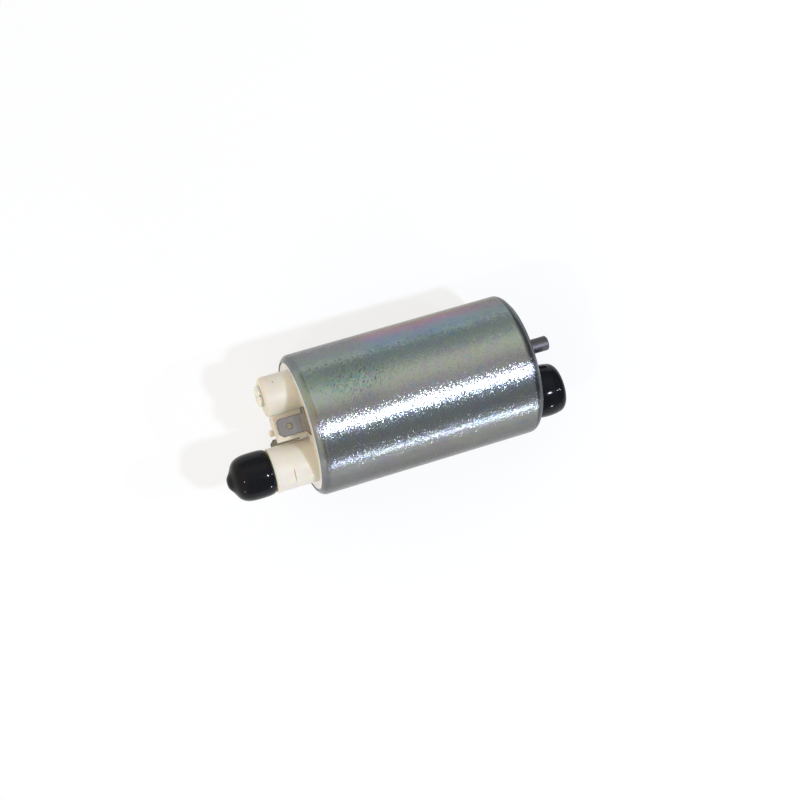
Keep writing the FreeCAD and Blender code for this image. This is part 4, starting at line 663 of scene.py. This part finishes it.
def spin(name, outline, finish, across=0.0, up=0.0):
    """Turn a closed outline about a line along X, and return the new piece."""
    mesh = bmesh.new()
    rings = []
    for x, radius in outline:
        if radius < 1e-6:
            rings.append([mesh.verts.new((x * MM, across * MM, up * MM))])
            continue
        turns = [2 * math.pi * index / SEGMENTS for index in range(SEGMENTS)]
        rings.append([mesh.verts.new((x * MM, (across + radius * math.cos(turn)) * MM,
                                      (up + radius * math.sin(turn)) * MM)) for turn in turns])
    for first, second in zip(rings, rings[1:] + rings[:1]):
        for index in range(SEGMENTS):
            following = (index + 1) % SEGMENTS
            if len(first) == 1 and len(second) > 1:
                mesh.faces.new((first[0], second[following], second[index]))
            elif len(second) == 1 and len(first) > 1:
                mesh.faces.new((first[index], first[following], second[0]))
            elif len(first) > 1:
                mesh.faces.new((first[index], first[following], second[following], second[index]))
    bmesh.ops.recalc_face_normals(mesh, faces=mesh.faces)
    data = bpy.data.meshes.new(name)
    mesh.to_mesh(data)
    mesh.free()
    data.shade_smooth()
    data.set_sharp_from_angle(angle=SHARP)
    piece = bpy.data.objects.new(name, data)
    bpy.context.scene.collection.objects.link(piece)
    data.materials.append(finish)
    return piece


print("turned shapes have", SEGMENTS, "sides")

# %% [markdown]
# The shell's ends are rolled inwards over the two covers. The wheel that did it left a fine crease
# where the straight tube ends, so a highlight stops there and starts again, a little further round,
# on the roll. A bump could only shade a crease, so the outline has one, and it shows against the
# paper too.

# %% Shell
WALL = 1.2
ROLL = 2.0
LIP_REACH = 1.55
CREASE_WIDTH = 0.16
CREASE_DEPTH = 0.04
FLAT_RING = 0.4

roll_rise = ROLL - LIP_REACH
roll_start = shell_end - math.sqrt(ROLL ** 2 - roll_rise ** 2)
lip_angle = math.degrees(math.asin(roll_rise / ROLL))
bore_roll = ROLL - WALL
bore_lip_angle = math.degrees(math.asin(roll_rise / bore_roll))
centre = (roll_start, shell_radius - ROLL)
outer_roll = arc(centre, ROLL, 84, lip_angle, 10)
inner_roll = arc(centre, bore_roll, bore_lip_angle, 90, 6)
crease_start = roll_start - CREASE_WIDTH
# A ring close to the crease keeps the shading of the long wall flat, or it would bulge
right_end = [(crease_start - FLAT_RING, shell_radius), (crease_start, shell_radius),
             (roll_start - CREASE_WIDTH / 2, shell_radius - CREASE_DEPTH)]
right_end += outer_roll + inner_roll
left_end = [(-x, radius) for x, radius in reversed(right_end)]
shell_skin = spin("shell_skin", right_end + left_end, finishes["plated_steel"])
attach(shell_skin, "housing")
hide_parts("shell")
print("shell crease at", round(roll_start, 2), "mm from the middle")

# %% [markdown]
# The inlet's cap is a blind tube of soft vinyl. Its wall thins towards the rim, which is rounded
# where the dip ended. A cylinder with round corners could stand for it, but a real cap is never a
# true cylinder: it swells a little in the middle, so a lamp shows on it as a dot and not as a line.

# %% Inlet cap
cap_low, cap_high = box_mm("inlet_cap")
# The soft cap sits a hair off its nipple's axis
INLET_LEAN = 0.1
INLET_ACROSS = (cap_low.y + cap_high.y) / 2 - INLET_LEAN
RIM_ROUND = 0.4
SIDE_STEPS = 8
INLET_CAP_RADIUS = (cap_high.z - cap_low.z) / 2
INLET_CAP_SWELL = 0.26
INLET_CAP_BORE = 5.5
INLET_CAP_WALL = 1.4
rim = cap_high.x
tip = cap_low.x
ROUNDING = 2.45
# How far the wall stops short of the rim's rounding, how far in that rounding lies, and the
# flare of the bore, along and out
WALL_GAP = 0.05
RIM_IN = 0.52
FLARE = (0.1, 0.2)
side = [(rim - RIM_ROUND - WALL_GAP - (rim - tip - ROUNDING) * step / SIDE_STEPS,
         INLET_CAP_RADIUS - INLET_CAP_SWELL * (2 * step / SIDE_STEPS - 1) ** 2)
        for step in range(SIDE_STEPS + 1)]
inlet_cap_outline = [(rim - RIM_ROUND, INLET_CAP_BORE), (tip + INLET_CAP_WALL, INLET_CAP_BORE),
                     (tip + INLET_CAP_WALL, 0), (tip, 0)]
inlet_cap_outline += arc((tip + ROUNDING, INLET_CAP_RADIUS - INLET_CAP_SWELL - ROUNDING),
                         ROUNDING, 180, 90, 10)
inlet_cap_outline += list(reversed(side))[1:]
inlet_cap_outline += arc((rim - RIM_ROUND, INLET_CAP_RADIUS - RIM_IN), RIM_ROUND, 75, -15, 5)
inlet_cap_outline += [(rim - FLARE[0], INLET_CAP_BORE + FLARE[1])]
inlet_cap_skin = spin("inlet_cap_skin", inlet_cap_outline, finishes["cap_vinyl"], INLET_ACROSS)
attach(inlet_cap_skin, "inlet_cap")
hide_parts("inlet_cap")
print(f"inlet cap: rim at {rim:.2f}, tip at {tip:.2f} mm, radius {INLET_CAP_RADIUS:.2f} mm")

# %% [markdown]
# The outlet cap is drawn over a barbed nipple. It swells over the barb, and its end is a dome with
# a broad, blunt nub, where the last drop ran off the mandrel. A few arcs could make most of that
# outline, but not its soft swell. So it was measured from the photograph, as the radius at a number
# of distances from the tip, and a smooth line goes through all of them.

# %% Outlet cap
cap_low, cap_high = box_mm("outlet_cap")
OUTLET_LEAN = 0.12
OUTLET_ACROSS = (cap_low.y + cap_high.y) / 2 - OUTLET_LEAN
OUTLET_UP = (cap_low.z + cap_high.z) / 2
OUTLET_CAP_BORE = 4.75
OUTLET_CAP_END = 4.05
# Distance from the rim, and the radius there
RIM_EDGE = ((0.06, 5.66), (0, 5.5))
# Distance from the tip, and the radius there
FROM_TIP = (
    (0, 0), (0.03, 0.5), (0.14, 1.12), (0.42, 1.7), (0.72, 2.12), (1.05, 2.56), (1.35, 3.05),
    (1.65, 3.62), (1.95, 4.17), (2.3, 4.66), (2.65, 5.02), (3.15, 5.4), (3.75, 5.7), (4.35, 5.9),
    (4.95, 6.04), (5.55, 6.13), (6.4, 6.19), (7.4, 6.215), (8.4, 6.21), (9.2, 6.19), (9.9, 6.15),
    (10.4, 6.08), (10.95, 5.96), (11.3, 5.82),
)


def smooth(points, steps=5):
    """A line that passes smoothly through all the points."""
    points = [points[0]] + list(points) + [points[-1]]
    line = []
    for before, start, end, after in zip(points, points[1:], points[2:], points[3:]):
        for t in (step / steps for step in range(steps)):
            line.append(tuple(b + t * (c - a) / 2 + t * t * (a - 2.5 * b + 2 * c - d / 2)
                              + t ** 3 * (1.5 * (b - c) + (d - a) / 2)
                              for a, b, c, d in zip(before, start, end, after)))
    return line + [points[-1]]


rim = cap_low.x
tip = cap_high.x
outlet_cap_outline = [(tip - away, radius) for away, radius in smooth(FROM_TIP)]
outlet_cap_outline += [(rim + away, radius) for away, radius in RIM_EDGE]
outlet_cap_outline += [(rim, OUTLET_CAP_BORE), (tip - OUTLET_CAP_END, OUTLET_CAP_BORE),
                       (tip - OUTLET_CAP_END, 0)]
outlet_cap_skin = spin("outlet_cap_skin", outlet_cap_outline, finishes["cap_vinyl"],
                       OUTLET_ACROSS, OUTLET_UP)
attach(outlet_cap_skin, "outlet_cap")
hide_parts("outlet_cap")
print(f"outlet cap: rim at {rim:.2f}, tip at {tip:.2f} mm")

# %% [markdown]
# The outlet cover has a flat rim, about 3 mm wide, which the rolled lip holds down. It stands a little higher than
# the floor of the cover, so it catches more light and looks whiter. Its colour is painted paler as well, as
# painted light, but only a real step throws a thin shade.

# %% Rim of the outlet cover
COVER_FACE = 30.1
RIM_TOP = 30.5
RIM_INNER = 14.5
RIM_OUTER = 17.36
SUNK = 0.05
OUTER_ROUND = 0.1
INNER_ROUND = 0.2
rim_outline = [(COVER_FACE - SUNK, RIM_OUTER)]
rim_outline += arc((RIM_TOP - OUTER_ROUND, RIM_OUTER - OUTER_ROUND), OUTER_ROUND, 90, 0, 3)
rim_outline += arc((RIM_TOP - INNER_ROUND, RIM_INNER + INNER_ROUND), INNER_ROUND, 0, -90, 4)
rim_outline += [(COVER_FACE - SUNK, RIM_INNER)]
cover_rim = spin("cover_rim", rim_outline, rim_acetal)
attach(cover_rim, "housing")
print(f"rim of the cover: {RIM_OUTER - RIM_INNER:.2f} mm wide")

# %% [markdown]
# Springs and the brushes' leads give way when a brush or a valve moves. A rigid one would be cut by the piece that
# pushes it. A rig could bend each turn, but these pieces only get shorter. So each gets its own copy of its mesh
# in place of the imported piece, and the share of its length that is left when the joint goes to its limit is
# worked out. The record says which pieces give way, and which of their ends stays put.

# %% Springs and leads that give way
pressed = []
for joint in frame["joints"]:
    for soft in joint.get("deforming_nodes", ()):
        node = soft["node"]
        low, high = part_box(node)
        spring = bpy.data.objects.new(node + "_flexing", frame["nodes"][node].data.copy())
        bpy.context.scene.collection.objects.link(spring)
        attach(spring, "housing")
        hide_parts(node)
        fixed_end = soft["fixed_end_x_m"]
        keep = 1 - joint["range_m"][1] / (fixed_end - low.x)
        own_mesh(spring)
        pressed.append(f"{node} to {keep:.2f}")
print("pressed together:", ", ".join(pressed))

# %% [markdown]
# White seamless paper is the floor. Lamps strong enough to turn it white would burn out the pump.
# So it is a plain matte white, and for the eye and for reflections it is mixed with a steady white.
# It stays white to the edges and still keeps the pump's shadow.

# %% Floor
PAPER_GLOW = 0.74
PAPER_GRAIN_MM = 0.5

paper, paper_tree, paper_surface = new_material("white_paper")
paper_place = add_node(paper_tree, "ShaderNodeTexCoord").outputs["Object"]
paper_grain = add_node(paper_tree, "ShaderNodeTexNoise", {
    "Vector": paper_place, "Scale": 1 / (PAPER_GRAIN_MM * MM)})
paper_tint = add_node(paper_tree, "ShaderNodeMix", {
    "Factor": paper_grain.outputs["Fac"], "A": linear("#FAFAFA"),
    "B": linear("#FFFFFF")}, data_type="RGBA")
matte = add_node(paper_tree, "ShaderNodeBsdfDiffuse", {"Color": paper_tint.outputs["Result"]})
steady = add_node(paper_tree, "ShaderNodeEmission", {"Color": linear("#FFFFFF"), "Strength": 1.0})
ray = add_node(paper_tree, "ShaderNodeLightPath")
seen = add_node(paper_tree, "ShaderNodeMath", {
    0: ray.outputs["Is Camera Ray"], 1: ray.outputs["Is Glossy Ray"]}, operation="MAXIMUM")
shown = add_node(paper_tree, "ShaderNodeMath", {
    0: seen.outputs[0], 1: ray.outputs["Is Transmission Ray"]}, operation="MAXIMUM")
amount = add_node(paper_tree, "ShaderNodeMath", {
    0: shown.outputs[0], 1: PAPER_GLOW}, operation="MULTIPLY")
paper_mix = add_node(paper_tree, "ShaderNodeMixShader", {0: amount.outputs[0], 1: matte.outputs[0],
                                                         2: steady.outputs[0]})
paper_tree.links.new(paper_mix.outputs[0], paper_surface)

floor_mesh = bpy.data.meshes.new("floor")
FLOOR_HALF = 1.5
corners = [(FLOOR_HALF * x, FLOOR_HALF * y) for x, y in ((-1, -1), (1, -1), (1, 1), (-1, 1))]
floor_mesh.from_pydata([(x, y, floor_level) for x, y in corners], [], [(0, 1, 2, 3)])
floor_mesh.materials.append(paper)
floor = bpy.data.objects.new("floor", floor_mesh)
bpy.context.scene.collection.objects.link(floor)
print("floor", 2 * FLOOR_HALF, "m wide")

# %% [markdown]
# Small lamps lit the pump in the photograph, far off, in two rows along it. The upper row stood
# high, and the lower one stood low in front, where it draws the thin second line along the shell.
# In each row one lamp, on the inlet side, gives nearly all of the light. The faint ones beside it
# only show as dots on the glossy caps. Their directions were found from those dots and from the
# shade that the shell throws on the cover. They could be points of light, but an area lamp has a
# size, and that sets how wide its highlight is. A lamp's energy is worked out from how bright it
# makes a sheet of white paper that faces it.

# %% Lamps
LAMP_DISTANCE = 1.2
LAMP_COLOUR = "#DEEAFF"
# Row, across, height, brightness on paper and size in metres
ROWS = (("high", 0.285, 0.91, 0.5, 0.08), ("low", 0.94, 0.15, 0.12, 0.045))
# Place, along, share of the row's brightness and share of its size
PLACES = (("middle", -0.31, 1.0, 1.0), ("outlet", 0.75, 0.2, 0.5), ("inlet", -0.85, 0.25, 0.6))


def lamp(name, direction, size, brightness):
    """A square lamp that looks at the pump. White paper that faces it gets the given brightness."""
    data = bpy.data.lights.new(name, "AREA")
    data.shape = "SQUARE"
    data.size = size
    data.color = linear(LAMP_COLOUR)[:3]
    # A small square lamp of power P gives P / (pi * distance^2), and paper sends 1 / pi of it back
    data.energy = brightness * (math.pi * LAMP_DISTANCE) ** 2
    item = bpy.data.objects.new(name, data)
    toward = Vector(direction).normalized()
    item.location = toward * LAMP_DISTANCE
    item.rotation_euler = toward.to_track_quat("Z", "Y").to_euler()
    bpy.context.scene.collection.objects.link(item)


for row, across, height, brightness, size in ROWS:
    for place, along, share, size_share in PLACES:
        lamp(f"{row}_{place}_lamp", (along, across, height), size * size_share, brightness * share)
print("lamps:", len(bpy.data.lights))

# %% [markdown]
# The room gives the rest of the light, evenly along the pump but not round it. It is brightest high
# at the back, where a pale wall stood, and darkest in front. A studio's picture could light the
# pump, but on a ramp that is read by the angle round the pump's axis, each soft band on the shell
# can be set by itself. On the outlet's side a warm white card sends light back to the cover, whose
# shaded parts look like cream in the photograph, and on the inlet's side the room was dim.

# %% Room
ROOM_LIGHT = (
    (-180, "#B8B8B8"), (-92, "#B4B4B4"), (-80, "#A8A8A8"), (-62, "#BCBCBC"), (-50, "#DEDEDE"),
    (-36, "#FAFAFA"), (-20, "#E6E6E6"), (-8, "#CACACA"), (10, "#BABABA"), (28, "#9A9A9A"),
    (46, "#8C8C8C"), (68, "#909090"), (82, "#ACACAC"), (92, "#B8B8B8"), (180, "#B8B8B8"),
)
CARD_LIGHT = "#FFECC6"
CARD_EDGES = (0.2, 0.65)
DIM_LIGHT = "#585858"
DIM_EDGES = (-0.4, -0.75)
world = bpy.data.worlds.new("room")
world.use_nodes = True
world_tree = world.node_tree
world_tree.nodes.clear()
direction = add_node(world_tree, "ShaderNodeTexCoord").outputs["Generated"]
sides = add_node(world_tree, "ShaderNodeSeparateXYZ", {"Vector": direction})
turn = add_node(world_tree, "ShaderNodeMath", {
    0: sides.outputs["Y"], 1: sides.outputs["Z"]}, operation="ARCTAN2")
turn_share = add_node(world_tree, "ShaderNodeMapRange", {
    "Value": turn.outputs[0], "From Min": -math.pi, "From Max": math.pi})
room = add_node(world_tree, "ShaderNodeValToRGB", {"Fac": turn_share.outputs[0]})
set_ramp(room, [((degrees + 180) / 360, colour) for degrees, colour in ROOM_LIGHT])
card = add_node(world_tree, "ShaderNodeMapRange", {
    "Value": sides.outputs["X"], "From Min": CARD_EDGES[0], "From Max": CARD_EDGES[1]})
dim = add_node(world_tree, "ShaderNodeMapRange", {
    "Value": sides.outputs["X"], "From Min": DIM_EDGES[0], "From Max": DIM_EDGES[1]})
with_card = add_node(world_tree, "ShaderNodeMix", {
    "Factor": card.outputs[0], "A": room.outputs["Color"],
    "B": linear(CARD_LIGHT)}, data_type="RGBA")
lit_room = add_node(world_tree, "ShaderNodeMix", {
    "Factor": dim.outputs[0], "A": with_card.outputs["Result"],
    "B": linear(DIM_LIGHT)}, data_type="RGBA")
room_light = add_node(world_tree, "ShaderNodeBackground", {
    "Color": lit_room.outputs["Result"], "Strength": 1.0})
add_node(world_tree, "ShaderNodeOutputWorld", {"Surface": room_light.outputs[0]})
bpy.context.scene.world = world
bpy.context.scene.view_settings.view_transform = "Standard"
print("room colours:", len(ROOM_LIGHT))
